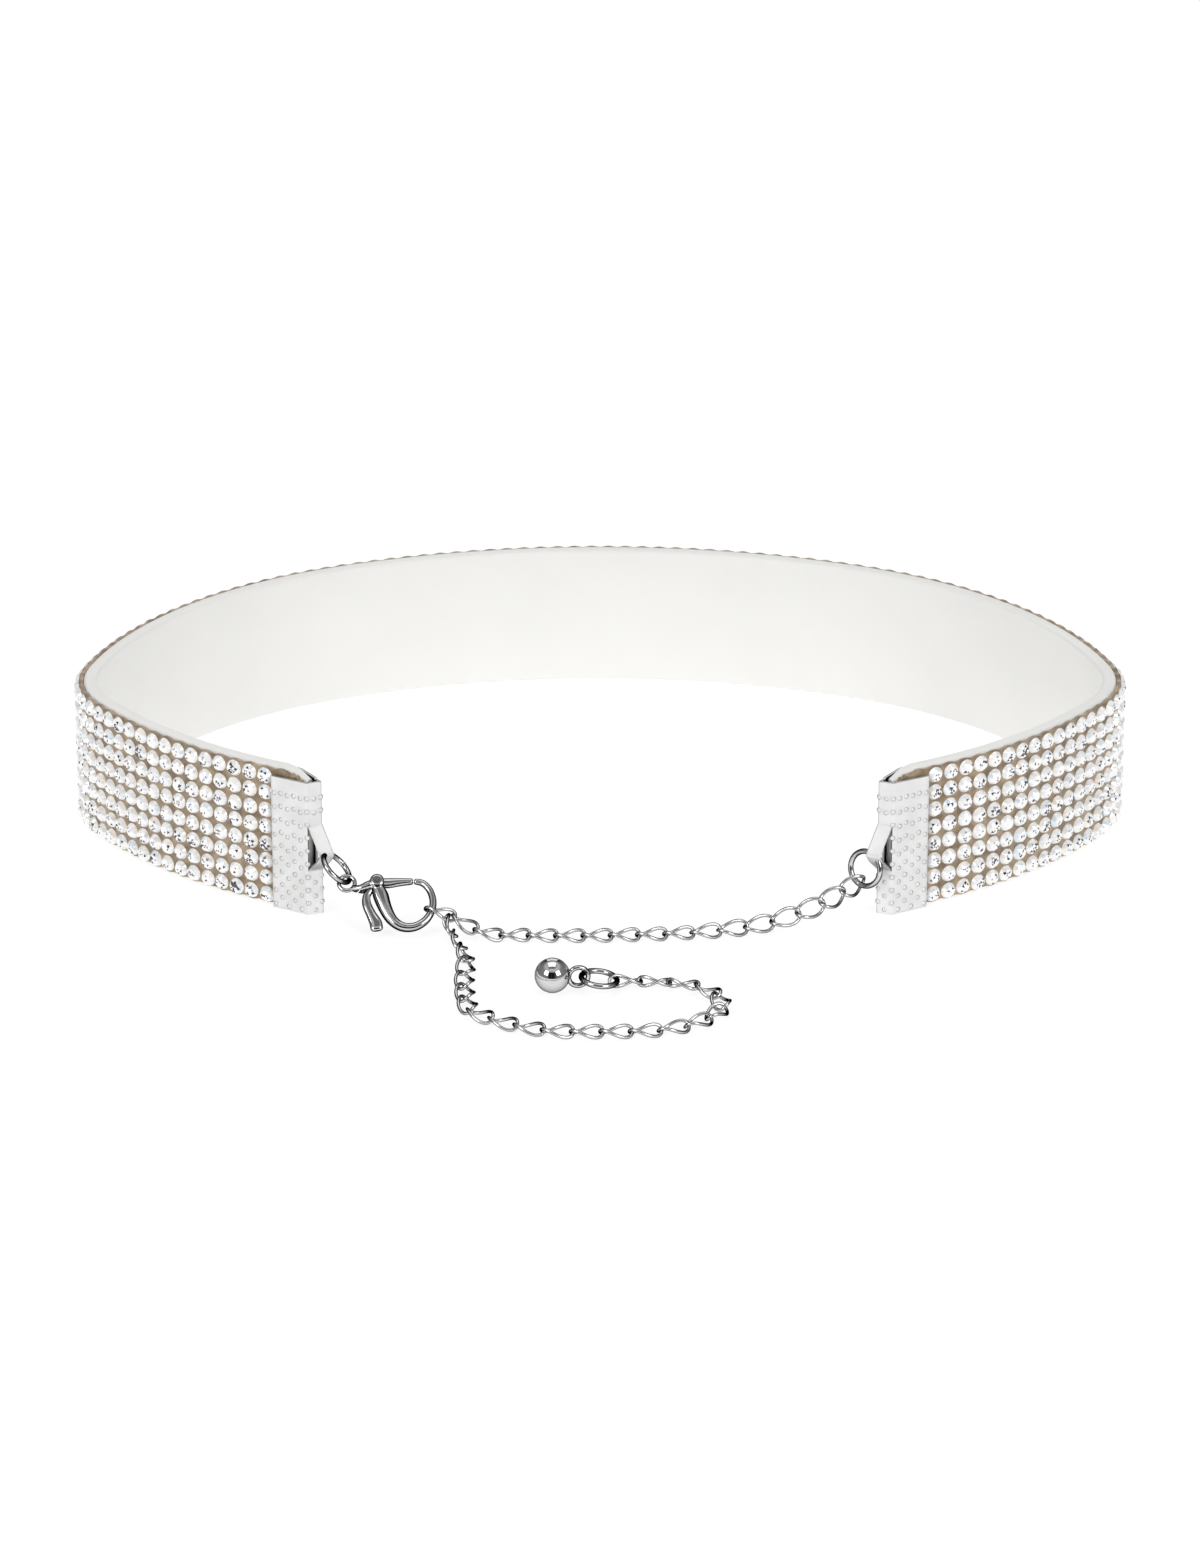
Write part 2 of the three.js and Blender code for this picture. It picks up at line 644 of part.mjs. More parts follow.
// Hook link: threaded on the hook's far limb
const hookRow = HOOK_ROWS[8];
const hookWire = new THREE.Vector3(hookRow.along * CLASP_LENGTH, hookRow.up * CLASP_WIDTH, 0)
  .applyMatrix4(claspFrame);
const hookInset = hookRow.half * CASTING_THICKNESS + LINK_WIRE + RUNNING_GAP
  - (LINK_WIRE - LINK_BITE) / 2 - LINK_WIRE / 2;
const hookHeading = new THREE.Vector3(1, -0.04, -0.30).normalize();
const hookStart = hookWire.clone().addScaledVector(hookHeading, -hookInset);
const hookEnd = hookStart.clone().addScaledVector(hookHeading, LINK_PITCH);
const chainAtRing = rightRingCentre.clone().add(onRightRing(RIGHT_RING_AT_CHAIN));
const lastHeading = new THREE.Vector3(0.93, 0.25, 0.25).normalize();
const ringInset = RING_WIRE / 2 + LINK_WIRE / 2 + RUNNING_GAP + RING_PLAY - (LINK_WIRE - LINK_BITE) / 2;
const fastenedEnd = chainAtRing.clone().addScaledVector(lastHeading, ringInset);
const fastenedRoute = [
  hookEnd,
  ...FASTENED_ROUTE.map(([x, y, z]) => new THREE.Vector3(x, y, z)),
  fastenedEnd,
];
const fastenedJoints = [hookStart, ...jointsAlong(fastenedRoute)];
const ringTangent = rightAcross.clone().multiplyScalar(-Math.sin(RIGHT_RING_AT_CHAIN))
  .addScaledVector(rightUp, Math.cos(RIGHT_RING_AT_CHAIN));
const lastRun = fastenedJoints.at(-1).clone().sub(fastenedJoints.at(-2)).normalize();
const fastenedFirstRoll = rollFor(hookHeading, claspUp, true);
const fastenedLastRoll = rollFor(lastRun, ringTangent, false);
const fastened = chainSolid(fastenedJoints, fastenedFirstRoll, fastenedLastRoll, 7);

// Tail ring and ball drop lie at the loose end
const ringAlong = new THREE.Vector3(-Math.cos(TAIL_RING_TIP), 0, Math.sin(TAIL_RING_TIP));
const ringAcross = new THREE.Vector3(0, 1, 0);
const tailRing = ringGeometry(RING_DIAMETER, RING_WIRE, TAIL_RING_CENTRE, ringAlong, ringAcross);
const tailRingLeft = TAIL_RING_CENTRE.clone().addScaledVector(ringAlong, RING_RADIUS);
const tailRingRight = TAIL_RING_CENTRE.clone().addScaledVector(ringAlong, -RING_RADIUS);

const ballEyeSlack = BALL_EYE_DIAMETER / 2 - BALL_EYE_WIRE - RING_WIRE / 2 - RUNNING_GAP;
const ballEyeCentre = new THREE.Vector3(tailRingLeft.x - ballEyeSlack * 0.9, tailRingLeft.y, tailRingLeft.z);
const ballReach = (BALL_DIAMETER + BALL_EYE_DIAMETER) / 2 - BALL_EYE_WIRE * 0.7;
const ballRise = BALL_DIAMETER / 2 + 0.03 - ballEyeCentre.z;
const ballRun = Math.sqrt(Math.max(0.1, ballReach ** 2 - ballRise ** 2));
const ball = new THREE.SphereGeometry(BALL_DIAMETER / 2, 16, 12);
ball.rotateX(Math.PI / 2);
ball.translate(
  ballEyeCentre.x + ballRun * BALL_WAY.x,
  ballEyeCentre.y + ballRun * BALL_WAY.y,
  ballEyeCentre.z + ballRise,
);
const ballEye = ringGeometry(BALL_EYE_DIAMETER, BALL_EYE_WIRE, ballEyeCentre,
  new THREE.Vector3(-1, -0.17, 0), new THREE.Vector3(0, 0, 1), 16, 8);
const ballDrop = joined([ball, ballEye]);

// Tail: from the hook link's near side round to the tail ring
const hookSpan = hookStart.distanceTo(hookEnd);
const hookFrame = linkFrame(hookStart, hookEnd, fastenedFirstRoll);
const hookSide = linkPath(hookSpan, TAIL_LEAVES_HOOK_LINK).applyMatrix4(hookFrame);
const hookSideRun = linkHeading(hookSpan, TAIL_LEAVES_HOOK_LINK).transformDirection(hookFrame);
const hookMiddle = hookStart.clone().add(hookEnd).multiplyScalar(0.5);
const tailHeading = hookSide.clone().sub(hookMiddle);
tailHeading.addScaledVector(hookSideRun, -tailHeading.dot(hookSideRun)).normalize();
const tailInset = LINK_WIRE + RUNNING_GAP - (LINK_WIRE - LINK_BITE) / 2;
const tailStart = hookSide.clone().addScaledVector(tailHeading, -tailInset);
const tailSecond = tailStart.clone().addScaledVector(tailHeading, LINK_PITCH);
const tailEndHeading = new THREE.Vector3(-0.985, 0.0, -0.17).normalize();
const tailEnd = tailRingRight.clone().addScaledVector(tailEndHeading, ringInset);
const tailRoute = [
  tailSecond,
  ...TAIL_ROUTE.map(([x, y, z]) => new THREE.Vector3(x, y, z)),
  tailEnd,
];
const tailJoints = [tailStart, ...jointsAlong(tailRoute)];
const tailRun = tailJoints.at(-1).clone().sub(tailJoints.at(-2)).normalize();
const tailFirstRoll = rollFor(tailHeading, hookSideRun, true);
const tailLastRoll = rollFor(tailRun, ringAcross, false);
const tail = chainSolid(tailJoints, tailFirstRoll, tailLastRoll, 4);

const necklace = new THREE.Group();
necklace.add(
  namedMesh('band_backing', backing, ivory),
  namedMesh('stone_field', geometryOf(solidOf(rows).add(solidOf(resin))), stones),
  namedMesh('clamp_left', clampSolid(-1), paleMetal),
  namedMesh('clamp_right', clampSolid(1), paleMetal),
  namedMesh('jump_ring_left', leftRing, silver),
  namedMesh('jump_ring_right', rightRing, silver),
  namedMesh('clasp_body', claspBody, silver),
  namedMesh('clasp_lever', claspLever, silver),
  namedMesh('chain_fastened', geometryOf(fastened), silver),
  namedMesh('chain_tail', geometryOf(tail), silver),
  namedMesh('tail_ring', tailRing, silver),
  namedMesh('ball_drop', geometryOf(ballDrop), brightSilver),
);

// The whole stands with the middle of its footprint at the origin
const box = new THREE.Box3().setFromObject(necklace);
const middle = box.getCenter(new THREE.Vector3());
necklace.position.set(-middle.x, -middle.y, -box.min.z);
necklace.updateMatrixWorld(true);

export default necklace;
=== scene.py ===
"""Stone-set choker: the finished look of the band, clamps, clasp, extender chain and ball drop."""

import json
import math
import random
from types import SimpleNamespace

import bmesh
import bpy
from mathutils import Matrix, Vector


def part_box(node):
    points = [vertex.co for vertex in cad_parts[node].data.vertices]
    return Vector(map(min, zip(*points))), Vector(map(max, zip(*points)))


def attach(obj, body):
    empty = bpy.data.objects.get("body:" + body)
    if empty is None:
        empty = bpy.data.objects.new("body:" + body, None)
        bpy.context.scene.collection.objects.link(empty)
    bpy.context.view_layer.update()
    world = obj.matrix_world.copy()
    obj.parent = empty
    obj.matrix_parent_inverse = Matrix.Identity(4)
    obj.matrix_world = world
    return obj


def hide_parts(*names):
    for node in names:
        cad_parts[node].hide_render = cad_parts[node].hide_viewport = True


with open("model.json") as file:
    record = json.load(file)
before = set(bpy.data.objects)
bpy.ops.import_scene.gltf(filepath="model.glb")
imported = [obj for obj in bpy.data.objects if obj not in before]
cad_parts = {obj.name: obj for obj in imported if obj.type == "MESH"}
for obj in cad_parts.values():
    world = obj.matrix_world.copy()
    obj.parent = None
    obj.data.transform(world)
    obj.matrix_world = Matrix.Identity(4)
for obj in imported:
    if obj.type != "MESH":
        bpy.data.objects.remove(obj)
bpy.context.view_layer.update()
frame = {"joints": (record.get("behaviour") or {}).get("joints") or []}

bl_info = {
    "name": "Stone choker",
    "version": (1, 0, 0),
    "blender": (4, 5, 0),
    "location": "3D View > Sidebar > Choker",
    "description": "Builds a stone-set choker with its clamps, clasp, extender chain and ball drop",
    "category": "Add Mesh",
}

MM = 0.001
X_AXIS = Vector((1.0, 0.0, 0.0))
Y_AXIS = Vector((0.0, 1.0, 0.0))
Z_AXIS = Vector((0.0, 0.0, 1.0))


# Properties that a user may change
def length(name, description, millimetres):
    """A length, written in millimetres and kept in metres."""
    return bpy.props.FloatProperty(
        name=name, description=description, default=millimetres * MM, min=0.0, precision=5,
        unit="LENGTH",
    )


def angle(name, description, degrees):
    """An angle, written in degrees."""
    return bpy.props.FloatProperty(
        name=name, description=description, default=math.radians(degrees), unit="ROTATION",
    )


def colour(name, description, value):
    """A colour in linear light."""
    return bpy.props.FloatVectorProperty(
        name=name, description=description, default=value, size=3, min=0.0, max=1.0,
        subtype="COLOR",
    )


def share(name, description, value):
    """A share from nothing to one."""
    return bpy.props.FloatProperty(
        name=name, description=description, default=value, min=0.0, max=1.0, subtype="FACTOR",
    )


def number(name, description, value):
    """A whole number of things."""
    return bpy.props.IntProperty(name=name, description=description, default=value, min=1)


class BandSizes(bpy.types.PropertyGroup):
    """Plan and section of the band"""
    back_radius: length("Back radius", "Radius of the inner face at the back", 91.8)
    back_turn: angle("Back turn", "Turn of half of the back arc", 24.1)
    shoulder_radius: length("Shoulder radius", "Radius between back and side", 54.6)
    shoulder_turn: angle("Shoulder turn", "Turn of one shoulder arc", 50.9)
    side_radius: length("Side radius", "Radius of the tight bend at the side", 14.1)
    side_turn: angle("Side turn", "Turn of one side bend", 48.9)
    front_radius: length("Front radius", "Radius of the inner face in front", 67.0)
    front_length: length("Front length", "Length of one front arc", 31.5)
    end_straight: length("Straight end", "Straight length at each end", 7.0)
    height: length("Height", "Height of the band", 19.8)
    backing: length("Backing", "Thickness of the pale backing", 1.85)
    edge_round: length("Edge rounding", "Rounding of the backing's edges", 0.4)
    resin: length("Resin", "Thickness of the tan resin under the stones", 0.7)
    resin_inset: length("Resin inset", "Resin edge below the backing's edge", 0.1)
    scallop: length("Scallop", "Depth of the resin edge's waves between stones", 0.2)
    setback: length("Setback", "Band end inside the clamp", 0.4)
    crush: length("Crush", "Length over which the clamp presses the band", 4.4)
    crush_drop: length("Crush drop", "How far the pressed end's top comes down", 1.0)


class StoneSizes(bpy.types.PropertyGroup):
    """Cut stones of the field"""
    rows: number("Rows", "Stones across the band", 8)
    pitch: length("Pitch", "Distance between stones along the band", 2.445)
    diameter: length("Diameter", "Girdle diameter of a stone", 2.36)
    table: share("Table", "Table width as a share of the diameter", 0.56)
    stand: length("Stand", "Height of the table above the resin", 0.6)
    end_margin: length("End margin", "Last stones' distance from the band's end", 6.9)
    spread: share("Size spread", "How far stones differ in size", 0.025)
    shift: length("Shift", "How far a stone may sit out of line", 0.06)
    seed: number("Seed", "Seed of the stones' turns and tones", 11)


class ClampSizes(bpy.types.PropertyGroup):
    """Sheet clamps on the band's ends"""
    sheet: length("Sheet", "Thickness of the folded sheet", 0.4)
    flap: length("Flap", "Length of the front flap", 5.5)
    flap_height: length("Flap height", "Height of the front flap", 18.9)
    height: length("Height", "Height of the clamp's back", 19.05)
    front_gap: length("Front gap", "Sheet's outer face outside the band's inner face", 3.3)
    back_gap: length("Back gap", "Sheet's outer face inside the band's inner face", 0.7)
    back_crease: length("Back crease", "Where the back facet starts, before the end", 3.2)
    nose_reach: length("Nose reach", "How far the nose runs past the end", 1.4)
    nose_share: share("Nose share", "Nose position between back and front faces", 0.58)
    floor_gap: length("Floor gap", "Clamp's lower edge above the floor", 0.05)
    slit_bottom: length("Slit bottom", "Lower end of the bail's slits", 6.3)
    slit_top: length("Slit top", "Upper end of the bail's slits", 12.9)
    bail_reach: length("Bail reach", "How far the bail's corner stands out", 1.85)
    dimple: length("Dimple", "Width of one pressed dimple", 0.74)
    dimple_pitch: length("Dimple pitch", "Distance of the dimples in one row", 2.1)


class RingSizes(bpy.types.PropertyGroup):
    """Jump rings and the ball drop"""
    diameter: length("Ring diameter", "Outer diameter of a jump ring", 5.4)
    wire: length("Ring wire", "Wire of a jump ring", 0.75)
    cut: angle("Ring cut", "Opening of a ring's butt joint", 1.2)
    right_turn: angle("Right ring turn", "Right ring's turn about the vertical", -37.0)
    right_lean: angle("Right ring lean", "Right ring's lean backwards", 15.0)
    tail_tip: angle("Tail ring tip", "How far the tail ring tips up", 7.0)
    running: length("Running gap", "Gap between a ring and what runs in it", 0.16)
    ball: length("Ball", "Diameter of the ball drop", 4.6)
    ball_eye: length("Ball eye", "Outer diameter of the ball's eye", 3.2)
    ball_wire: length("Ball wire", "Wire of the ball's eye", 0.65)
    seam: length("Seam", "Depth of the ball's seam", 0.05)


class ClaspSizes(bpy.types.PropertyGroup):
    """Lobster clasp"""
    length: length("Length", "Clasp length from the eye's middle", 12.9)
    width: length("Width", "Clasp width across the hook", 6.9)
    eye: length("Eye", "Outer diameter of the eye", 2.66)
    eye_wire: length("Eye wire", "Thickness of the eye", 0.56)
    knuckle: length("Knuckle", "Diameter of the knuckle round the rivet", 1.9)
    knuckle_width: length("Knuckle width", "Depth of the knuckle", 2.3)
    rivet: length("Rivet", "Diameter of the rivet", 0.7)
    lever: length("Lever", "Thickness of the lever", 0.9)
    barrel: length("Barrel", "Diameter of the lever's barrel", 1.6)
    room: length("Room", "Room round the lever", 0.2)
    opens: angle("Opens", "How far the lever swings in", 24.0)
    voxel: length("Voxel", "Fineness of the fused casting", 0.07)


class ChainSizes(bpy.types.PropertyGroup):
    """Extender chain"""
    wire: length("Wire", "Wire of a link", 0.5)
    drawn: length("Drawn wire", "Wire of a link as it looks, without the plating's play", 0.45)
    width: length("Width", "Width of a link", 2.85)
    pitch: length("Pitch", "Distance of the links", 3.7)
    bite: length("Bite", "Play between two links", 0.09)
    twist: angle("Twist", "Turn of a link's ends", 45.0)
    segments: number("Segments", "Steps round a link", 32)
    sides: number("Sides", "Sides of a link's wire", 10)


class Finishes(bpy.types.PropertyGroup):
    """Colours of the finishes"""
    ivory: colour("Ivory", "Backing", (0.935, 0.929, 0.906))
    ivory_shade: colour("Ivory shade", "Darker patches of the backing", (0.915, 0.909, 0.889))
    tan: colour("Tan", "Resin between the stones", (0.43, 0.325, 0.205))
    umber: colour("Umber", "Darker resin", (0.2, 0.14, 0.08))
    stone: colour("Stone", "Bright facets", (0.985, 0.985, 0.985))
    # Painted dark reflections and painted glints on the stones' facets
    stone_painted_dark_reflection: colour("Stone dark", "Dark facets", (0.025, 0.028, 0.04))
    stone_painted_cool_glint: colour("Stone cool", "Cool flash", (0.62, 0.80, 1.0))
    stone_painted_warm_glint: colour("Stone warm", "Warm flash", (1.0, 0.86, 0.74))
    plate: colour("Plate", "Pale plating of the clamps", (0.96, 0.96, 0.955))
    # Painted dark reflection where the pale plating is seen at a slant
    plate_painted_rim_shade: colour("Plate edge", "Pale plating seen at a slant", (0.5, 0.5, 0.5))
    silver: colour("Silver", "Polished plating", (0.74, 0.74, 0.75))
    # Painted dark reflections where the polished plating and the ball plating are seen at a slant
    silver_painted_rim_shade: colour("Silver edge", "Plating seen at a slant", (0.035, 0.035, 0.037))
    ball_painted_rim_shade: colour("Ball edge", "Ball's plating seen at a slant", (0.5, 0.5, 0.505))
    floor: colour("Floor", "Stage", (0.3, 0.3, 0.3))


class StageSettings(bpy.types.PropertyGroup):
    """Camera and light"""
    distance: length("Distance", "Camera from the aimed point", 906.32)
    elevation: angle("Elevation", "Camera above the horizon", 23.273)
    focus: bpy.props.FloatProperty(
        name="Focal length", description="Lens in millimetres of a 36 mm sensor", default=152.22,
    )
    drop: bpy.props.FloatProperty(
        name="Drop", description="Aimed point below the picture's middle, in pixels", default=24.39,
    )
    picture_height: number("Picture height", "Pixels of the picture's long side", 1557)
    sky: bpy.props.FloatProperty(name="Sky", description="Strength of the room light", default=0.66)
    glow: bpy.props.FloatProperty(name="Glow", description="Light of the light table", default=0.79)
    key: bpy.props.FloatProperty(name="Key", description="Power of a soft box, watts", default=4.6)


# Plan of the band in the row frame, in millimetres
def in_mm(group):
    """A property group's values, with its lengths in millimetres."""
    found = SimpleNamespace()
    for name, prop in group.bl_rna.properties.items():
        if name not in {"rna_type", "name"}:
            value = getattr(group, name)
            setattr(found, name, value / MM if getattr(prop, "unit", "") == "LENGTH" else value)
    return found


BACK_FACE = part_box("band_backing")[1].y / MM


def plan_arcs(band):
    """Radius and turn of the arcs of half the band, from the middle of the back."""
    return [
        (band.back_radius, band.back_turn),
        (band.shoulder_radius, band.shoulder_turn),
        (band.side_radius, band.side_turn),
        (band.front_radius, band.front_length / band.front_radius),
    ]


def half_length(band, offset=0.0):
    """Length of half the band, on a line that lies outside its inner face."""
    return sum((radius + offset) * turn for radius, turn in plan_arcs(band)) + band.end_straight


def plan_at(band, distance, offset=0.0):
    """Place on the inner face, way outward and way to the end, for a distance along an offset line."""
    x, y, heading = 0.0, BACK_FACE - band.backing, 0.0
    left = abs(distance)
    for radius, turn in plan_arcs(band):
        turned = min(left / (radius + offset), turn)
        x += radius * (math.sin(heading) - math.sin(heading - turned))
        y += radius * (math.cos(heading - turned) - math.cos(heading))
        heading -= turned
        left = max(0.0, left - turned * (radius + offset))
    x += left * math.cos(heading)
    y += left * math.sin(heading)
    side = -1.0 if distance < 0 else 1.0
    return (
        Vector((side * x, y, 0.0)),
        Vector((-side * math.sin(heading), math.cos(heading), 0.0)),
        Vector((side * math.cos(heading), math.sin(heading), 0.0)),
    )


def end_frame(band, side):
    """Frame of one end: along the band, outward, up."""
    place, outward, to_end = plan_at(band, side * half_length(band))
    turned = Matrix((to_end, outward, Z_AXIS)).transposed()
    return Matrix.Translation(place) @ turned.to_4x4()


# Meshes
def spaced(start, end, step):
    """Evenly spaced numbers from start to end, at most a step apart."""
    count = max(1, math.ceil(abs(end - start) / step))
    return [start + (end - start) * i / count for i in range(count + 1)]


def run_lengths(path):
    """Distance along a path from its start to each of its points."""
    lengths = [0.0]
    for before, after in zip(path, path[1:]):
        lengths.append(lengths[-1] + (after - before).length)
    return lengths


def round_turns(count):
    """Evenly spaced turns of a full circle."""
    return [2 * math.pi * i / count for i in range(count)]


def hoop(centre, first, second, radius, sides):
    """Points on a circle in the plane of two ways."""
    return [
        centre + first * (radius * math.cos(turn)) + second * (radius * math.sin(turn))
        for turn in round_turns(sides)
    ]


def skin(rings, closed=False):
    """Points and faces of a skin over rings of points, capped unless it closes on itself."""
    points = [point for ring in rings for point in ring]
    count = len(rings[0])
    faces = []
    for i in range(len(rings) if closed else len(rings) - 1):
        here = i * count
        after = (i + 1) % len(rings) * count
        for j in range(count):
            k = (j + 1) % count
            faces.append((here + j, here + k, after + k, after + j))
    if not closed:
        faces.append(tuple(reversed(range(count))))
        faces.append(tuple(range(len(points) - count, len(points))))
    return points, faces


def link_object(name, mesh):
    """An object for a mesh, shown in the scene."""
    piece = bpy.data.objects.new(name, mesh)
    bpy.context.scene.collection.objects.link(piece)
    return piece


def shell_object(name, shells, matrix=None, scale=MM, smooth_below=40.0, weld=0.0):
    """An object of closed shells given in millimetres, with its faces turned outward."""
    form = bmesh.new()
    for points, faces in shells:
        corners = [form.verts.new(point) for point in points]
        for face in faces:
            form.faces.new([corners[i] for i in face])
    if weld:
        bmesh.ops.remove_doubles(form, verts=form.verts, dist=weld)
    if matrix is not None:
        form.transform(matrix)
    bmesh.ops.recalc_face_normals(form, faces=form.faces)
    form.transform(Matrix.Scale(scale, 4))
    mesh = bpy.data.meshes.new(name)
    form.to_mesh(mesh)
    form.free()
    soften(mesh, smooth_below)
    return link_object(name, mesh)


def soften(mesh, smooth_below):
    """Smooth shading, apart from edges sharper than an angle in degrees."""
    mesh.shade_smooth()
    mesh.set_sharp_from_angle(angle=math.radians(smooth_below))


def baked(piece):
    """The piece with its modifiers worked into a plain mesh."""
    graph = bpy.context.evaluated_depsgraph_get()
    mesh = bpy.data.meshes.new_from_object(
        piece.evaluated_get(graph), preserve_all_data_layers=True, depsgraph=graph,
    )
    raw = piece.data
    piece.modifiers.clear()
    piece.data = mesh
    bpy.data.meshes.remove(raw)
    mesh.name = piece.name
    return piece


def remove_piece(piece):
    """Takes a helper object and its mesh away."""
    mesh = piece.data
    bpy.data.objects.remove(piece)
    bpy.data.meshes.remove(mesh)


def merged(name, pieces):
    """One object that holds the meshes of several."""
    form = bmesh.new()
    for piece in pieces:
        form.from_mesh(piece.data)
        remove_piece(piece)
    mesh = bpy.data.meshes.new(name)
    form.to_mesh(mesh)
    form.free()
    return link_object(name, mesh)


def fused(name, shells, voxel, smoothing):
    """Overlapping shells run into one casting with soft inner corners; it stays in millimetres."""
    piece = shell_object(name, shells, scale=1.0)
    remesh = piece.modifiers.new("Fuse", "REMESH")
    remesh.mode = "VOXEL"
    remesh.voxel_size = voxel
    relax = piece.modifiers.new("Relax", "SMOOTH")
    relax.factor = 0.5
    relax.iterations = smoothing
    return baked(piece)


def cut_from(piece, tool):
    """The piece less the tool."""
    cut = piece.modifiers.new("Cut", "BOOLEAN")
    cut.operation = "DIFFERENCE"
    cut.solver = "EXACT"
    cut.object = tool
    baked(piece)
    remove_piece(tool)
    return piece


def finish_piece(piece, material, body, slot, *nodes):
    """Dresses a piece, sets it on its body and lets it stand for its nodes."""
    piece.data.materials.clear()
    piece.data.materials.append(material)
    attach(piece, body)
    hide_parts(*nodes)
    return piece


# Node trees
def add_node(tree, kind, inputs=None, **settings):
    """A node with its settings, whose inputs are given as values or as sockets to link."""
    node = tree.nodes.new(kind)
    node.location = (190 * (len(tree.nodes) % 12), -230 * (len(tree.nodes) // 12))
    for key, value in settings.items():
        setattr(node, key, value)
    for key, value in (inputs or {}).items():
        if isinstance(value, bpy.types.NodeSocket):
            tree.links.new(value, node.inputs[key])
        else:
            node.inputs[key].default_value = value
    return node


def new_group(name, kind, inputs, outputs):
    """A node group with its sockets, its input node and its output node."""
    tree = bpy.data.node_groups.new(name, kind)
    for in_out, sockets in (("INPUT", inputs), ("OUTPUT", outputs)):
        for label, socket_type, default in sockets:
            socket = tree.interface.new_socket(name=label, in_out=in_out, socket_type=socket_type)
            if default is not None:
                socket.default_value = default
    source = tree.nodes.new("NodeGroupInput")
    target = tree.nodes.new("NodeGroupOutput")
    target.location = (2300, 0)
    return tree, source.outputs, target.inputs


def maths(tree, operation, first, second=0.0, third=0.0):
    """The result of one sum."""
    node = add_node(tree, "ShaderNodeMath", {0: first, 1: second, 2: third}, operation=operation)
    return node.outputs[0]


def blended(tree, factor, first, second):
    """A mix of two colours."""
    node = add_node(
        tree, "ShaderNodeMix", {0: factor, 6: first, 7: second}, data_type="RGBA",
    )
    return node.outputs[2]


def ranged(tree, value, low, high, to_low=0.0, to_high=1.0):
    """A value taken from one range to another and held there."""
    node = add_node(tree, "ShaderNodeMapRange", {0: value, 1: low, 2: high, 3: to_low, 4: to_high})
    return node.outputs[0]


def vector_named(tree, name):
    """A vector attribute of the points."""
    node = add_node(tree, "GeometryNodeInputNamedAttribute", {"Name": name}, data_type="FLOAT_VECTOR")
    return node.outputs[0]


def random_value(tree, inputs):
    """An even random number for every item, point or face."""
    return add_node(tree, "FunctionNodeRandomValue", inputs, data_type="FLOAT").outputs[1]


def stored(tree, geometry, name, value, domain):
    """The geometry with a number kept on its items or faces."""
    node = add_node(tree, "GeometryNodeStoreNamedAttribute", {
        "Geometry": geometry, "Name": name, "Value": value,
    }, data_type="FLOAT", domain=domain)
    return node.outputs[0]


def on_points(tree, points, item, rotation, scale):
    """An object set on every point."""
    item = add_node(tree, "GeometryNodeObjectInfo", {"Object": item}).outputs["Geometry"]
    node = add_node(tree, "GeometryNodeInstanceOnPoints", {
        "Points": points, "Instance": item, "Rotation": rotation, "Scale": scale,
    })
    return node.outputs[0]


def made_real(tree, geometry):
    """Items turned into plain faces."""
    return add_node(tree, "GeometryNodeRealizeInstances", {"Geometry": geometry}).outputs[0]


def dress(tree, geometry, finish, result):
    """Gives the geometry its finish and hands it out."""
    node = add_node(tree, "GeometryNodeSetMaterial", {"Geometry": geometry, "Material": finish})
    tree.links.new(node.outputs[0], result)


def seat_tree():
    """Sets an item on every point, facing its way, with its own spin, size and tones."""
    tree, given, result = new_group("Seat items", "GeometryNodeTree", [
        ("Points", "NodeSocketGeometry", None),
        ("Item", "NodeSocketObject", None),
        ("Spin", "NodeSocketFloat", 6.2832),
        ("Size spread", "NodeSocketFloat", 0.02),
        ("Seed", "NodeSocketInt", 1),
        ("Finish", "NodeSocketMaterial", None),
    ], [("Items", "NodeSocketGeometry", None)])
    aim = add_node(tree, "FunctionNodeAlignRotationToVector", {"Vector": vector_named(tree, "facing")},
                   axis="Z")
    spin = random_value(tree, {3: given["Spin"], "Seed": given["Seed"]})
    about = add_node(tree, "ShaderNodeCombineXYZ", {2: spin})
    euler = add_node(tree, "FunctionNodeEulerToRotation", {0: about.outputs[0]})
    turned = add_node(tree, "FunctionNodeRotateRotation", {
        "Rotation": aim.outputs[0], "Rotate By": euler.outputs[0],
    }, rotation_space="LOCAL")
    size = random_value(tree, {
        2: maths(tree, "SUBTRACT", 1.0, given["Size spread"]),
        3: maths(tree, "ADD", 1.0, given["Size spread"]),
        "Seed": maths(tree, "ADD", given["Seed"], 1.0),
    })
    seated = on_points(tree, given["Points"], given["Item"], turned.outputs[0], size)
    item_tone = random_value(tree, {"Seed": maths(tree, "ADD", given["Seed"], 2.0)})
    real = made_real(tree, stored(tree, seated, "item_tone", item_tone, "INSTANCE"))
    facet_tone = random_value(tree, {"Seed": maths(tree, "ADD", given["Seed"], 3.0)})
    dress(tree, stored(tree, real, "facet_tone", facet_tone, "FACE"), given["Finish"], result[0])
    return tree


def thread_tree():
    """Sets a link on every joint of a chain, turned and stretched as the joint says."""
    tree, given, result = new_group("Thread links", "GeometryNodeTree", [
        ("Joints", "NodeSocketGeometry", None),
        ("Link", "NodeSocketObject", None),
        ("Finish", "NodeSocketMaterial", None),
    ], [("Chain", "NodeSocketGeometry", None)])
    euler = add_node(tree, "FunctionNodeEulerToRotation", {0: vector_named(tree, "turn")})
    threaded = on_points(
        tree, given["Joints"], given["Link"], euler.outputs[0], vector_named(tree, "stretch"),
    )
    dress(tree, made_real(tree, threaded), given["Finish"], result[0])
    return tree


def point_object(name, places, attributes):
    """Loose points in metres that carry vectors for a node tree to read."""
    mesh = bpy.data.meshes.new(name)
    mesh.from_pydata([place * MM for place in places], [], [])
    for label, vectors in attributes.items():
        layer = mesh.attributes.new(label, "FLOAT_VECTOR", "POINT")
        for entry, vector in zip(layer.data, vectors):
            entry.vector = vector
    return link_object(name, mesh)


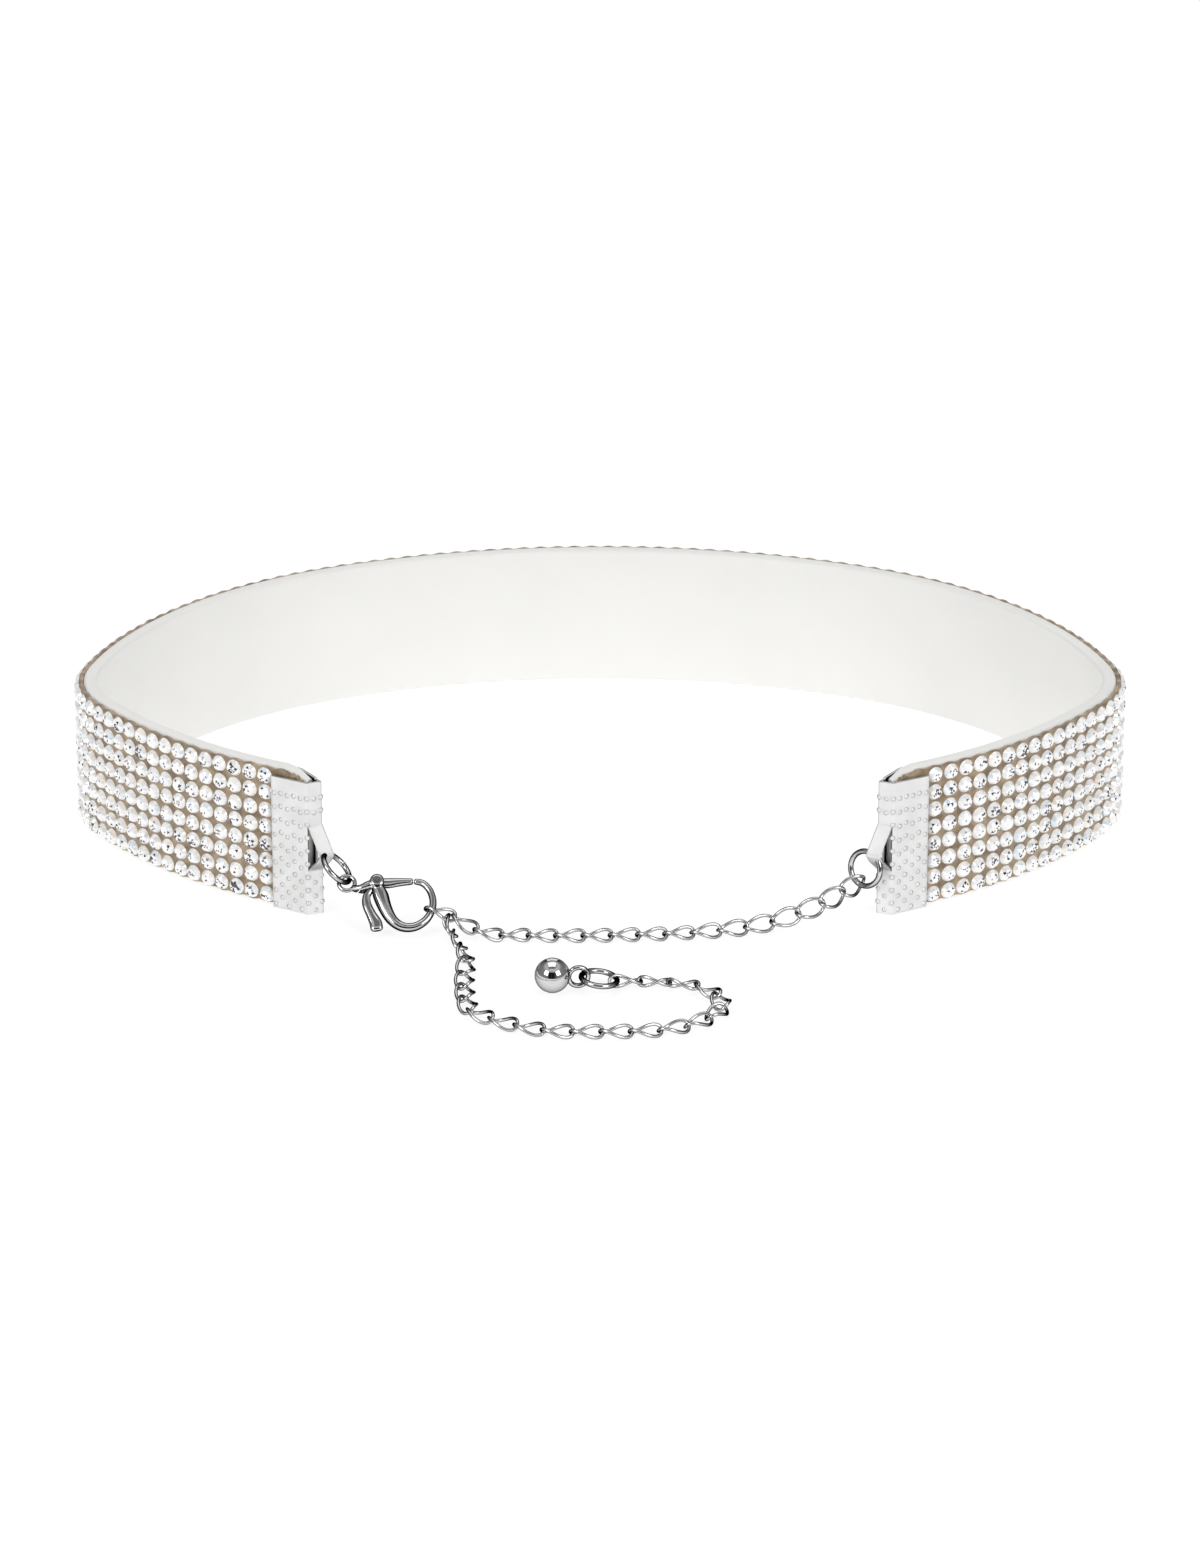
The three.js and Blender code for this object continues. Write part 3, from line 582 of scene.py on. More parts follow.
def grown(piece, make_tree, values):
    """The plain mesh that a node tree makes of a piece's points."""
    tree = bpy.data.node_groups.get(values.pop("tree")) or make_tree()
    modifier = piece.modifiers.new(tree.name, "NODES")
    modifier.node_group = tree
    for socket in tree.interface.items_tree:
        if socket.in_out == "INPUT" and socket.name in values:
            modifier[socket.identifier] = values[socket.name]
    return baked(piece)


# Finishes
def grain_group():
    """Fine grain: a mask of broad patches and a height of fine bumps."""
    name = "Fine grain"
    if name in bpy.data.node_groups:
        return bpy.data.node_groups[name]
    tree, given, result = new_group(name, "ShaderNodeTree", [
        ("Place", "NodeSocketVector", None),
        ("Patch scale", "NodeSocketFloat", 90.0),
        ("Grain scale", "NodeSocketFloat", 2500.0),
    ], [
        ("Patches", "NodeSocketFloat", None),
        ("Height", "NodeSocketFloat", None),
    ])
    patches = add_node(tree, "ShaderNodeTexNoise", {
        "Vector": given["Place"], "Scale": given["Patch scale"], "Detail": 3.0,
    })
    fine = add_node(tree, "ShaderNodeTexNoise", {
        "Vector": given["Place"], "Scale": given["Grain scale"], "Detail": 4.0,
    })
    pits = add_node(tree, "ShaderNodeTexVoronoi", {
        "Vector": given["Place"], "Scale": given["Grain scale"],
    }, feature="SMOOTH_F1")
    tree.links.new(ranged(tree, patches.outputs[0], 0.35, 0.65), result["Patches"])
    height = maths(tree, "MULTIPLY_ADD", pits.outputs["Distance"], 0.6, fine.outputs[0])
    tree.links.new(height, result["Height"])
    return tree


def rub_group():
    """Handling: a mask of hairline rubs that run two ways, and a height for them."""
    name = "Hairline rubs"
    if name in bpy.data.node_groups:
        return bpy.data.node_groups[name]
    tree, given, result = new_group(name, "ShaderNodeTree", [
        ("Place", "NodeSocketVector", None),
        ("Scale", "NodeSocketFloat", 1500.0),
        ("Thinness", "NodeSocketFloat", 0.62),
    ], [
        ("Rubs", "NodeSocketFloat", None),
        ("Clouds", "NodeSocketFloat", None),
    ])
    masks = []
    for turn, stretch in ((0.5, 0.06), (-0.9, 0.09)):
        mapped = add_node(tree, "ShaderNodeMapping", {
            "Vector": given["Place"], "Rotation": (turn, turn * 0.6, turn), "Scale": (1.0, stretch, 1.0),
        })
        line = add_node(tree, "ShaderNodeTexNoise", {
            "Vector": mapped.outputs[0], "Scale": given["Scale"], "Detail": 2.0,
        })
        masks.append(ranged(tree, line.outputs[0], given["Thinness"], 0.75))
    clouds = add_node(tree, "ShaderNodeTexNoise", {
        "Vector": given["Place"], "Scale": 420.0, "Detail": 2.0,
    })
    tree.links.new(maths(tree, "MAXIMUM", masks[0], masks[1]), result["Rubs"])
    tree.links.new(clouds.outputs[0], result["Clouds"])
    return tree


def new_material(name, **constants):
    """A material, its tree, its shader with constants set on its own sockets, and its place."""
    material = bpy.data.materials.get(name)
    if material:
        return material, None, None, None
    material = bpy.data.materials.new(name)
    material.use_nodes = True
    tree = material.node_tree
    shader = tree.nodes["Principled BSDF"]
    for socket, value in constants.items():
        shader.inputs[socket.replace("_", " ")].default_value = value
    place = add_node(tree, "ShaderNodeTexCoord").outputs["Object"]
    return material, tree, shader, place


def put_bump(tree, shader, height, strength, distance_mm):
    """Relief from a height."""
    bump = add_node(tree, "ShaderNodeBump", {
        "Strength": strength, "Distance": distance_mm * MM, "Height": height,
    })
    tree.links.new(bump.outputs[0], shader.inputs["Normal"])


def grained(name, first, second, scales, roughs, relief, **constants):
    """A finish of two tones in patches with a fine grain, at the scales of the patches and the grain."""
    material, tree, shader, place = new_material(name, **constants)
    if tree:
        grain = add_node(tree, "ShaderNodeGroup", {
            "Place": place, "Patch scale": scales[0], "Grain scale": scales[1],
        }, node_tree=grain_group())
        patches = grain.outputs["Patches"]
        base = blended(tree, patches, (*first, 1.0), (*second, 1.0))
        tree.links.new(base, shader.inputs["Base Color"])
        tree.links.new(ranged(tree, patches, 0.0, 1.0, *roughs), shader.inputs["Roughness"])
        put_bump(tree, shader, grain.outputs["Height"], *relief)
    return material


def ivory_backing(finish):
    """Soft-touch ivory backing with a fine grain."""
    return grained(
        "Ivory backing", finish.ivory, finish.ivory_shade, scales=(70.0, 3200.0), roughs=(0.5, 0.62),
        relief=(0.12, 0.03), Specular_IOR_Level=0.3,
    )


def tan_resin(finish):
    """Tan resin, darker in patches."""
    return grained(
        "Tan resin", finish.tan, finish.umber, scales=(620.0, 2600.0), roughs=(0.28, 0.5),
        relief=(0.35, 0.05), Coat_Weight=0.2,
    )


PAINTED_GREY_REFLECTION = (0.45, 0.44, 0.43, 1.0)
# Painted dark reflections on the facets: how rare a dark stone is and its share, the middle's share, and
# where they may lie
RARE_STONE = 9.0
RARE_SHARE = 0.5
MIDDLE_SHARE = 0.17
DARK_WITHIN = 0.5
# Painted glints (flashes): tones from which they are cool, tones round which they are warm, and their
# strengths
COOL_FROM = 0.95
COOL_SHARE = 0.6
WARM_TONES = (0.88, 0.03)
WARM_SHARE = 0.7


def cut_glass(finish):
    """Foiled cut glass: bright facets, a few painted dark reflections near the middle, facets greyed as
    painted reflection, faint painted glints as flashes, and a faint painted glow.
    """
    # Painted glow: the stones faintly emit their facet colours (Emission Strength)
    material, tree, shader, place = new_material(
        "Cut glass", Metallic=0.12, Emission_Strength=0.08, Coat_Weight=1.0, Coat_Roughness=0.02,
    )
    if tree:
        tone = add_node(tree, "ShaderNodeAttribute", attribute_name="facet_tone").outputs["Fac"]
        stone = add_node(tree, "ShaderNodeAttribute", attribute_name="item_tone").outputs["Fac"]
        ring = add_node(tree, "ShaderNodeAttribute", attribute_name="facet_ring").outputs["Fac"]
        rare = maths(tree, "MULTIPLY", maths(tree, "POWER", stone, RARE_STONE), RARE_SHARE)
        chance = maths(tree, "MULTIPLY_ADD", ring, MIDDLE_SHARE, rare)
        dark = maths(tree, "LESS_THAN", tone, chance)
        inner = maths(tree, "GREATER_THAN", ring, DARK_WITHIN)
        dark_inner = maths(tree, "MULTIPLY", dark, inner)
        # Painted reflection: facets of low tone are greyed
        grey = ranged(tree, tone, 0.0, 0.4, 0.28, 0.0)
        base = blended(tree, grey, (*finish.stone, 1.0), PAINTED_GREY_REFLECTION)
        # Painted glints: rare facets are tinted cool or warm
        cool = maths(tree, "MULTIPLY", maths(tree, "GREATER_THAN", tone, COOL_FROM), COOL_SHARE)
        base = blended(tree, cool, base, (*finish.stone_painted_cool_glint, 1.0))
        warm = maths(tree, "COMPARE", tone, *WARM_TONES)
        base = blended(tree, maths(tree, "MULTIPLY", warm, WARM_SHARE), base, (*finish.stone_painted_warm_glint, 1.0))
        base = blended(tree, dark_inner, base, (*finish.stone_painted_dark_reflection, 1.0))
        tree.links.new(base, shader.inputs["Base Color"])
        # Painted glow: the facet colours also feed the emission
        tree.links.new(base, shader.inputs["Emission Color"])
        smear = add_node(tree, "ShaderNodeTexNoise", {"Vector": place, "Scale": 900.0})
        rough = ranged(tree, smear.outputs[0], 0.3, 0.7, 0.04, 0.14)
        tree.links.new(rough, shader.inputs["Roughness"])
    return material


# Plating: the painted shade on the unseen inside, rubbed patches' share of the tint, the rubs' roughness and
# depth
PAINTED_INSIDE_SHADE = (0.012, 0.011, 0.01, 1.0)
WORN = 0.86
RUB_ROUGHNESS = 0.08
RUB_DEPTH = -0.15


def plated(name, tint, edge, roughs, ripple, metal=1.0, slants=(0.18, 0.52)):
    """Plated metal with clouds of polish, hairline rubs and a soft ripple, with a painted dark reflection at
    a slant and painted shade on its inside faces.
    """
    material, tree, shader, place = new_material(
        name, Metallic=metal, Specular_Tint=(0.2, 0.2, 0.2, 1.0),
    )
    if tree:
        rubs = add_node(tree, "ShaderNodeGroup", {"Place": place}, node_tree=rub_group())
        worn = tuple(WORN * value for value in tint)
        base = blended(tree, rubs.outputs["Clouds"], (*tint, 1.0), (*worn, 1.0))
        # Painted dark reflection: the edge colour is painted in where the surface is seen at a slant
        slant = add_node(tree, "ShaderNodeLayerWeight", {"Blend": 0.5}).outputs["Facing"]
        base = blended(tree, ranged(tree, slant, *slants), base, (*edge, 1.0))
        # Painted shade: the faces that line the clamp are turned near black
        shade = add_node(tree, "ShaderNodeAttribute", attribute_name="inside").outputs["Fac"]
        base = blended(tree, shade, base, PAINTED_INSIDE_SHADE)
        tree.links.new(base, shader.inputs["Base Color"])
        rough = ranged(tree, rubs.outputs["Clouds"], 0.3, 0.7, *roughs)
        rough = maths(tree, "MULTIPLY_ADD", rubs.outputs["Rubs"], RUB_ROUGHNESS, rough)
        tree.links.new(rough, shader.inputs["Roughness"])
        wave = add_node(tree, "ShaderNodeTexNoise", {"Vector": place, "Scale": 1300.0, "Detail": 2.0})
        height = maths(tree, "MULTIPLY_ADD", rubs.outputs["Rubs"], RUB_DEPTH, wave.outputs[0])
        put_bump(tree, shader, height, ripple, 0.03)
    return material


def pale_plate(finish):
    """Pale matt plating of the clamps."""
    return plated("Pale plating", finish.plate, finish.plate_painted_rim_shade, (0.34, 0.5), ripple=0.25, metal=0.6)


def polished_silver(finish):
    """Bright polished plating of the clasp, the rings and the ball's eye."""
    return plated(
        "Polished silver", finish.silver, finish.silver_painted_rim_shade, (0.05, 0.13), ripple=0.03, slants=(0.1, 0.4),
    )


def chain_silver(finish):
    """Plating of the chain's drawn wire."""
    return plated("Chain silver", finish.silver, finish.silver_painted_rim_shade, (0.1, 0.22), ripple=0.08)


def ball_silver(finish):
    """Mirror plating of the ball."""
    return plated("Ball silver", finish.silver, finish.ball_painted_rim_shade, (0.04, 0.09), ripple=0.02)


# Band
def rounded_section(low, high, bottom, top, radius, steps=4):
    """A rectangle with rounded corners, as across and up."""
    corners = [
        (high - radius, bottom + radius, -90), (high - radius, top - radius, 0),
        (low + radius, top - radius, 90), (low + radius, bottom + radius, 180),
    ]
    points = []
    for across, up, start in corners:
        for i in range(steps + 1):
            turn = math.radians(start + 90 * i / steps)
            points.append((across + radius * math.cos(turn), up + radius * math.sin(turn)))
    return points


def swept(band, distances, section_at, offset=0.0):
    """A skin of sections along the band's plan."""
    rings = []
    for distance in distances:
        place, outward, _ = plan_at(band, distance, offset)
        rings.append([place + outward * out + Z_AXIS * up for out, up in section_at(distance)])
    return skin(rings)


# Backing: steps along it, share that the clamp presses out, gap to the clamp's outside in sheets
BACKING_STEP = 0.8
THINNING = 0.42
SHEETS_CLEAR = 1.25


def nose_out(clamp):
    """How far the clamp's nose lies outside the band's inner face."""
    return clamp.nose_share * (clamp.front_gap + clamp.back_gap) - clamp.back_gap


def pressed_end(band, clamp, before_end):
    """How far the clamp has pressed the band at a distance before its end, and its inner face there."""
    press = max(0.0, min(1.0, 1.0 - before_end / band.crush))
    slope = (nose_out(clamp) + clamp.back_gap) / (clamp.nose_reach + clamp.back_crease)
    inner = slope * (clamp.back_crease - before_end) - clamp.back_gap + SHEETS_CLEAR * clamp.sheet
    return press, max(0.0, inner)


def backing_thickness(band, press):
    """Thickness of the backing, thinner where it is pressed."""
    return band.backing * (1.0 - THINNING * press)


def build_backing(context):
    """The pale backing, one long strip with rounded edges and pressed ends."""
    band = in_mm(context.scene.choker_band)
    clamp = in_mm(context.scene.choker_clamp)
    whole = half_length(band)
    end = whole - band.setback

    def section(distance):
        press, inner = pressed_end(band, clamp, whole - abs(distance))
        outer = inner + backing_thickness(band, press)
        return rounded_section(inner, outer, 0.0, band.height - band.crush_drop * press, band.edge_round)

    shell = swept(band, spaced(-end, end, BACKING_STEP), section)
    piece = shell_object("backing", [shell], smooth_below=60)
    finish_piece(piece, ivory_backing(context.scene.choker_finish), "necklace", "backing", "band_backing")


# Stones: the line of their spacing outside the resin's face, and a girdle's foot below that face
STONE_LINE = 0.3
STONE_SINK = 0.12
# Resin: gap to the backing, swell where it is pressed, rounding, and its crumpled top
RESIN_GAP = 0.02
RESIN_SWELL = 0.15
RESIN_ROUND = 0.12
CRUMPLE = 0.25
CRUMPLE_WAVE = 7.3
CRUMPLE_DROP = 1.1


def stone_line(band, stone):
    """The line along which stones are spaced: its way out, half the stones' stretch, their columns."""
    offset = band.backing + band.resin + STONE_LINE
    reach = half_length(band, offset) - stone.end_margin
    return offset, reach, round(2 * reach / stone.pitch) + 1


def stone_places(band, stone):
    """Places and ways of all stones, in even columns along the outer face."""
    draw = random.Random(stone.seed)
    offset, reach, columns = stone_line(band, stone)
    row_pitch = (band.height - 2 * band.resin_inset) / stone.rows
    face = band.backing + band.resin
    places, ways = [], []
    for column in range(columns):
        distance = -reach + 2 * reach * column / (columns - 1)
        for row in range(stone.rows):
            along = distance + draw.uniform(-stone.shift, stone.shift)
            up = band.resin_inset + (row + 0.5) * row_pitch + draw.uniform(-stone.shift, stone.shift)
            place, outward, _ = plan_at(band, along, offset)
            places.append(place + outward * face + Z_AXIS * up)
            ways.append(outward)
    return places, ways


def cut_stone(stone):
    """One brilliant of eight sides, its girdle at the resin: 16 girdle facets, kites, stars, table."""
    radius = stone.diameter / 2
    levels = [
        (radius, -STONE_SINK, 16, 0.0), (0.78 * radius, 0.66 * stone.stand, 8, 22.5),
        (stone.table * radius, stone.stand, 8, 0.0), (0.3 * radius, 0.97 * stone.stand, 8, 22.5),
    ]
    points = []
    for reach, up, count, start in levels:
        for i in range(count):
            turn = math.radians(start + 360 * i / count)
            points.append(Vector((reach * math.cos(turn), reach * math.sin(turn), up)))
    points.append(Vector((0.0, 0.0, 0.93 * stone.stand)))
    girdle, crown, table, heart, centre = 0, 16, 24, 32, 40
    faces, rings = [tuple(reversed(range(16)))], [0.0]
    for i in range(8):
        j = (i + 1) % 8
        facets = [
            ((girdle + 2 * i, girdle + 2 * i + 1, crown + i), 0.1),
            ((girdle + 2 * i + 1, girdle + (2 * i + 2) % 16, crown + i), 0.1),
            ((girdle + 2 * j, crown + j, table + j, crown + i), 0.3),
            ((crown + i, table + j, table + i), 0.55),
            ((table + i, table + j, heart + i), 0.8),
            ((table + j, heart + j, heart + i), 0.9),
            ((heart + i, heart + j, centre), 1.0),
        ]
        for corners, ring in facets:
            faces.append(corners)
            rings.append(ring)
    mesh = bpy.data.meshes.new("cut_stone")
    mesh.from_pydata([point * MM for point in points], [], faces)
    layer = mesh.attributes.new("facet_ring", "FLOAT", "FACE")
    for entry, ring in zip(layer.data, rings):
        entry.value = ring
    return link_object("cut_stone", mesh)


def build_stones(context):
    """The stone field: tan resin with a scalloped edge, and the cut stones seated in it."""
    band = in_mm(context.scene.choker_band)
    stone = in_mm(context.scene.choker_stone)
    finish = context.scene.choker_finish
    clamp = in_mm(context.scene.choker_clamp)
    offset, reach, columns = stone_line(band, stone)
    pitch = 2 * reach / (columns - 1)
    whole = half_length(band, offset)
    end = whole - band.setback

    def section(distance):
        press, inner = pressed_end(band, clamp, whole - abs(distance))
        wave = 0.5 - 0.5 * math.cos(2 * math.pi * (distance + reach) / pitch)
        dip = band.resin_inset + band.scallop * wave
        low = inner + backing_thickness(band, press) + RESIN_GAP
        high = band.backing + band.resin + RESIN_SWELL * press
        crumple = CRUMPLE * press * math.sin(CRUMPLE_WAVE * distance) + CRUMPLE_DROP * band.crush_drop * press
        return rounded_section(low, high, dip, band.height - dip - crumple, RESIN_ROUND, 2)

    resin = shell_object("resin", [swept(band, spaced(-end, end, pitch / 10), section, offset)])
    places, ways = stone_places(band, stone)
    points = point_object("stones", places, {"facing": ways})
    item = cut_stone(stone)
    resin_finish, glass = tan_resin(finish), cut_glass(finish)
    stones = grown(points, seat_tree, {
        "tree": "Seat items", "Item": item, "Size spread": stone.spread, "Seed": stone.seed,
        "Finish": glass,
    })
    remove_piece(item)
    finish_piece(resin, resin_finish, "necklace", "stones", "stone_field")
    finish_piece(stones, glass, "necklace", "stones", "stone_field")


# Clamps
def rounded_path(corners, steps=5):
    """A path through corners given as across, up and rounding."""
    path = []
    for i, (x, y, radius) in enumerate(corners):
        here = Vector((x, y))
        if radius <= 0:
            path.append(here)
            continue
        before = (Vector(corners[i - 1][:2]) - here).normalized()
        after = (Vector(corners[i + 1][:2]) - here).normalized()
        reach = radius / math.tan(before.angle(after) / 2)
        start, end = here + before * reach, here + after * reach
        for k in range(steps + 1):
            t = k / steps
            path.append(start * (1 - t) ** 2 + here * 2 * t * (1 - t) + end * t ** 2)
    return path


def even_path(path, step):
    """The same path with long stretches divided."""
    found = [path[0]]
    for after in path[1:]:
        before = found[-1]
        for t in spaced(0.0, 1.0, step / max((after - before).length, step))[1:]:
            found.append(before.lerp(after, t))
    return found


# How far the strip between the slits stands out: share of the slits' height, share of the reach
BAIL_FORM = ((0.0, 0.0), (0.2, 0.68), (0.363, 1.0), (1.0, 0.0))
# Rounding of the sheet's folds and edges, and its fineness
FRONT_FOLD = 0.3
NOSE_FOLD = 0.28
BACK_FOLD = 0.9
SHEET_EDGE = 0.06
SHEET_STEP = 0.35
ROW_STEP = 0.3
# The slits' ends on the sheet: along the band, and from the front face or the nose
FRONT_SLIT = (0.03, -0.04)
BACK_SLIT = (0.35, -0.85)
# Plain borders that the dimples leave: at the sheet's ends, foot and head, the slits and the crease
DIMPLE_SIDE = 0.45
DIMPLE_FOOT = 0.6
DIMPLE_HEAD = 0.3
DIMPLE_SLIT = 0.4
DIMPLE_CREASE = 0.05
# A dimple's profile: share of its radius, height
DIMPLE_FORM = ((1.0, -0.08), (0.92, 0.03), (0.62, 0.13), (0.25, 0.175))
DIMPLE_CORNERS = 8
DIMPLE_SPREAD = 0.08
DIMPLE_SEED = 5
# A spot between the sheet's faces, one before its front face, and what counts as near to that
INSIDE_SPOT = Vector((-2.0, 1.2, 9.0))
FRONT_SPOT = Vector((-2.0, 4.0, 9.0))
NEAR_FRONT = 3.2


def nearest(path, across, up):
    """Which of a path's points lies nearest to a spot."""
    spot = Vector((across, up))
    return min(range(len(path)), key=lambda i: (path[i] - spot).length)


def bail_shift(clamp, up):
    """How far the strip between the slits stands out at a height."""
    at = (up - clamp.slit_bottom) / (clamp.slit_top - clamp.slit_bottom)
    for (low, start), (high, end) in zip(BAIL_FORM, BAIL_FORM[1:]):
        if low <= at <= high:
            return clamp.bail_reach * (start + (end - start) * (at - low) / (high - low))
    return 0.0


def clamp_sheet(clamp):
    """The folded sheet in the end's own frame, with its bail pushed out between two slits."""
    nose = nose_out(clamp)
    path = even_path(rounded_path([
        (-clamp.flap, clamp.front_gap, 0), (0.0, clamp.front_gap, FRONT_FOLD),
        (clamp.nose_reach, nose, NOSE_FOLD), (-clamp.back_crease, -clamp.back_gap, BACK_FOLD),
        (-clamp.flap, -clamp.back_gap, 0),
    ]), SHEET_STEP)
    front_slit = nearest(path, FRONT_SLIT[0], clamp.front_gap + FRONT_SLIT[1])
    back_slit = nearest(path, BACK_SLIT[0], nose + BACK_SLIT[1])
    heights = sorted({
        round(value, 4)
        for start, end in ((clamp.floor_gap, clamp.slit_bottom), (clamp.slit_bottom, clamp.slit_top),
                           (clamp.slit_top, clamp.flap_height), (clamp.flap_height, clamp.height))
        for value in spaced(start, end, ROW_STEP)
    })
    bottom, top, rim = (round(up, 4) for up in (clamp.slit_bottom, clamp.slit_top, clamp.flap_height))
    points, faces = [], []

    def patch(columns, rows, bail=False):
        start = len(points)
        for up in rows:
            shift = bail_shift(clamp, up) if bail else 0.0
            for column in columns:
                points.append(Vector((path[column].x + shift, path[column].y, up)))
        count = len(columns)
        for i in range(len(rows) - 1):
            for j in range(count - 1):
                a = start + i * count + j
                faces.append((a, a + 1, a + count + 1, a + count))

    every = list(range(len(path)))
    low_rows = [up for up in heights if up <= bottom]
    slit_rows = [up for up in heights if bottom <= up <= top]
    high_rows = [up for up in heights if top <= up <= rim]
    rim_rows = [up for up in heights if up >= rim]
    patch(every, low_rows)
    patch(every[:front_slit + 1], slit_rows)
    patch(every[back_slit:], slit_rows)
    patch(every[front_slit:back_slit + 1], slit_rows, bail=True)
    patch(every, high_rows)
    patch(every[back_slit:], rim_rows)
    return points, faces, path


def dimple_places(clamp, path):
    """Places and ways of the pressed dimples, in staggered columns over the sheet's outer face."""
    lengths = run_lengths(path)
    places, ways = [], []
    columns = spaced(DIMPLE_SIDE, lengths[-1] - DIMPLE_SIDE, clamp.dimple_pitch / 2)
    for column, run in enumerate(columns):
        i = max(k for k in range(len(path) - 1) if lengths[k] <= run)
        t = (run - lengths[i]) / (lengths[i + 1] - lengths[i])
        spot = path[i].lerp(path[i + 1], t)
        way = (path[i + 1] - path[i]).normalized()
        out = Vector((-way.y, way.x, 0.0))
        start = clamp.floor_gap + DIMPLE_FOOT + (column % 2) * clamp.dimple_pitch / 2
        for up in spaced(start, clamp.flap_height - DIMPLE_HEAD, clamp.dimple_pitch)[:-1]:
            by_slits = clamp.slit_bottom - DIMPLE_SLIT < up < clamp.slit_top + DIMPLE_SLIT
            if not (by_slits and spot.x > DIMPLE_CREASE):
                places.append(Vector((spot.x, spot.y, up)))
                ways.append(out)
    return places, ways


def dimple_item(clamp):
    """A low dome on a sunk foot."""
    radius = clamp.dimple / 2
    rings = [
        hoop(Z_AXIS * up, X_AXIS, Y_AXIS, reach * radius, DIMPLE_CORNERS) for reach, up in DIMPLE_FORM
    ]
    return shell_object("dimple", [skin(rings)])


def mark_painted_inside_shade(sheet):
    """Notes which faces line the sheet, those on its second slot, for the finish to paint in near-black
    shade.
    """
    layer = sheet.data.attributes.new("inside", "FLOAT", "FACE")
    for entry, face in zip(layer.data, sheet.data.polygons):
        entry.value = float(face.material_index > 0)
        face.material_index = 0


def build_clamp(context, side, name):
    """One clamp: folded sheet with its bail, and the dimples pressed into it."""
    band = in_mm(context.scene.choker_band)
    clamp = in_mm(context.scene.choker_clamp)
    points, faces, path = clamp_sheet(clamp)
    place = end_frame(band, side)
    sheet = shell_object(name + "_sheet", [(points, faces)], place, smooth_below=50, weld=0.001)
    inside = place @ INSIDE_SPOT * MM
    front = place @ FRONT_SPOT * MM
    inside_out = any(
        (Vector(face.center) - front).length < NEAR_FRONT * MM and face.normal.dot(inside - front) > 0
        for face in sheet.data.polygons
    )
    if inside_out:
        sheet.data.flip_normals()
    plating = pale_plate(context.scene.choker_finish)
    for _ in ("outside", "inside"):
        sheet.data.materials.append(plating)
    wall = sheet.modifiers.new("Wall", "SOLIDIFY")
    wall.thickness = clamp.sheet * MM
    wall.offset = -1.0
    wall.use_even_offset = True
    # The inner faces take the second slot, which the finish paints in shade
    wall.material_offset = 1
    edge = sheet.modifiers.new("Edge", "BEVEL")
    edge.width = SHEET_EDGE * MM
    edge.segments = 2
    edge.limit_method = "ANGLE"
    edge.angle_limit = math.radians(50)
    baked(sheet)
    mark_painted_inside_shade(sheet)
    places, ways = dimple_places(clamp, path)
    turn = place.to_3x3()
    spots = point_object(name + "_dimples", [place @ spot for spot in places], {
        "facing": [turn @ way for way in ways],
    })
    item = dimple_item(clamp)
    dimples = grown(spots, seat_tree, {
        "tree": "Seat items", "Item": item, "Size spread": DIMPLE_SPREAD, "Seed": DIMPLE_SEED,
        "Finish": plating,
    })
    remove_piece(item)
    piece = merged(name, [sheet, dimples])
    soften(piece.data, 50)
    finish_piece(piece, plating, "necklace", "clamp", name.replace("end_", ""))


def build_clamps(context):
    """Both end clamps."""
    build_clamp(context, -1, "end_clamp_left")
    build_clamp(context, 1, "end_clamp_right")


# Rings
def ring_shell(centre, first, second, diameter, wire, cut, cut_at=0.0, segments=64, sides=16):
    """A wire ring in the plane of two ways, open by a hairline cut."""
    radius = (diameter - wire) / 2
    first = first.normalized()
    second = (second - first * second.dot(first)).normalized()
    third = first.cross(second)
    rings = []
    for i in range(segments + 1):
        turn = cut_at + cut / 2 + (2 * math.pi - cut) * i / segments
        out = first * math.cos(turn) + second * math.sin(turn)
        ring = []
        for roll in round_turns(sides):
            reach = radius + wire / 2 * math.cos(roll)
            ring.append(centre + out * reach + third * (wire / 2 * math.sin(roll)))
        rings.append(ring)
    return skin(rings)


def node_middle(node):
    """Middle of a node's box, in millimetres."""
    low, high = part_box(node)
    return (low + high) / 2 / MM


LEFT_RING_DROP = Vector((0.55, -0.6, -0.64)).normalized()
LEFT_RING_ACROSS = Vector((0.45, 0.9, -0.3))
RIGHT_RING_AT_CHAIN = math.radians(245)


def right_ring_ways(ring):
    """The two ways that span the right ring."""
    across = Vector((math.cos(ring.right_turn), math.sin(ring.right_turn), 0.0))
    up = Vector((0.0, math.sin(ring.right_lean), math.cos(ring.right_lean)))
    return across, (up - across * up.dot(across)).normalized()


def tail_ring_ways(ring):
    """The two ways that span the tail ring."""
    return Vector((-math.cos(ring.tail_tip), 0.0, math.sin(ring.tail_tip))), Y_AXIS


def build_rings(context):
    """The three jump rings, each with its node, its two ways and the turn at which it is cut."""
    ring = in_mm(context.scene.choker_ring)
    finish = context.scene.choker_finish
    rows = (
        ("ring_left", "jump_ring_left", (LEFT_RING_DROP, LEFT_RING_ACROSS), 1.9),
        ("ring_right", "jump_ring_right", right_ring_ways(ring), 2.6),
        ("ring_tail", "tail_ring", tail_ring_ways(ring), 1.2),
    )
    for name, node, ways, cut_at in rows:
        shell = ring_shell(node_middle(node), *ways, ring.diameter, ring.wire, ring.cut, cut_at)
        finish_piece(shell_object(name, [shell]), polished_silver(finish), "necklace", "ring", node)


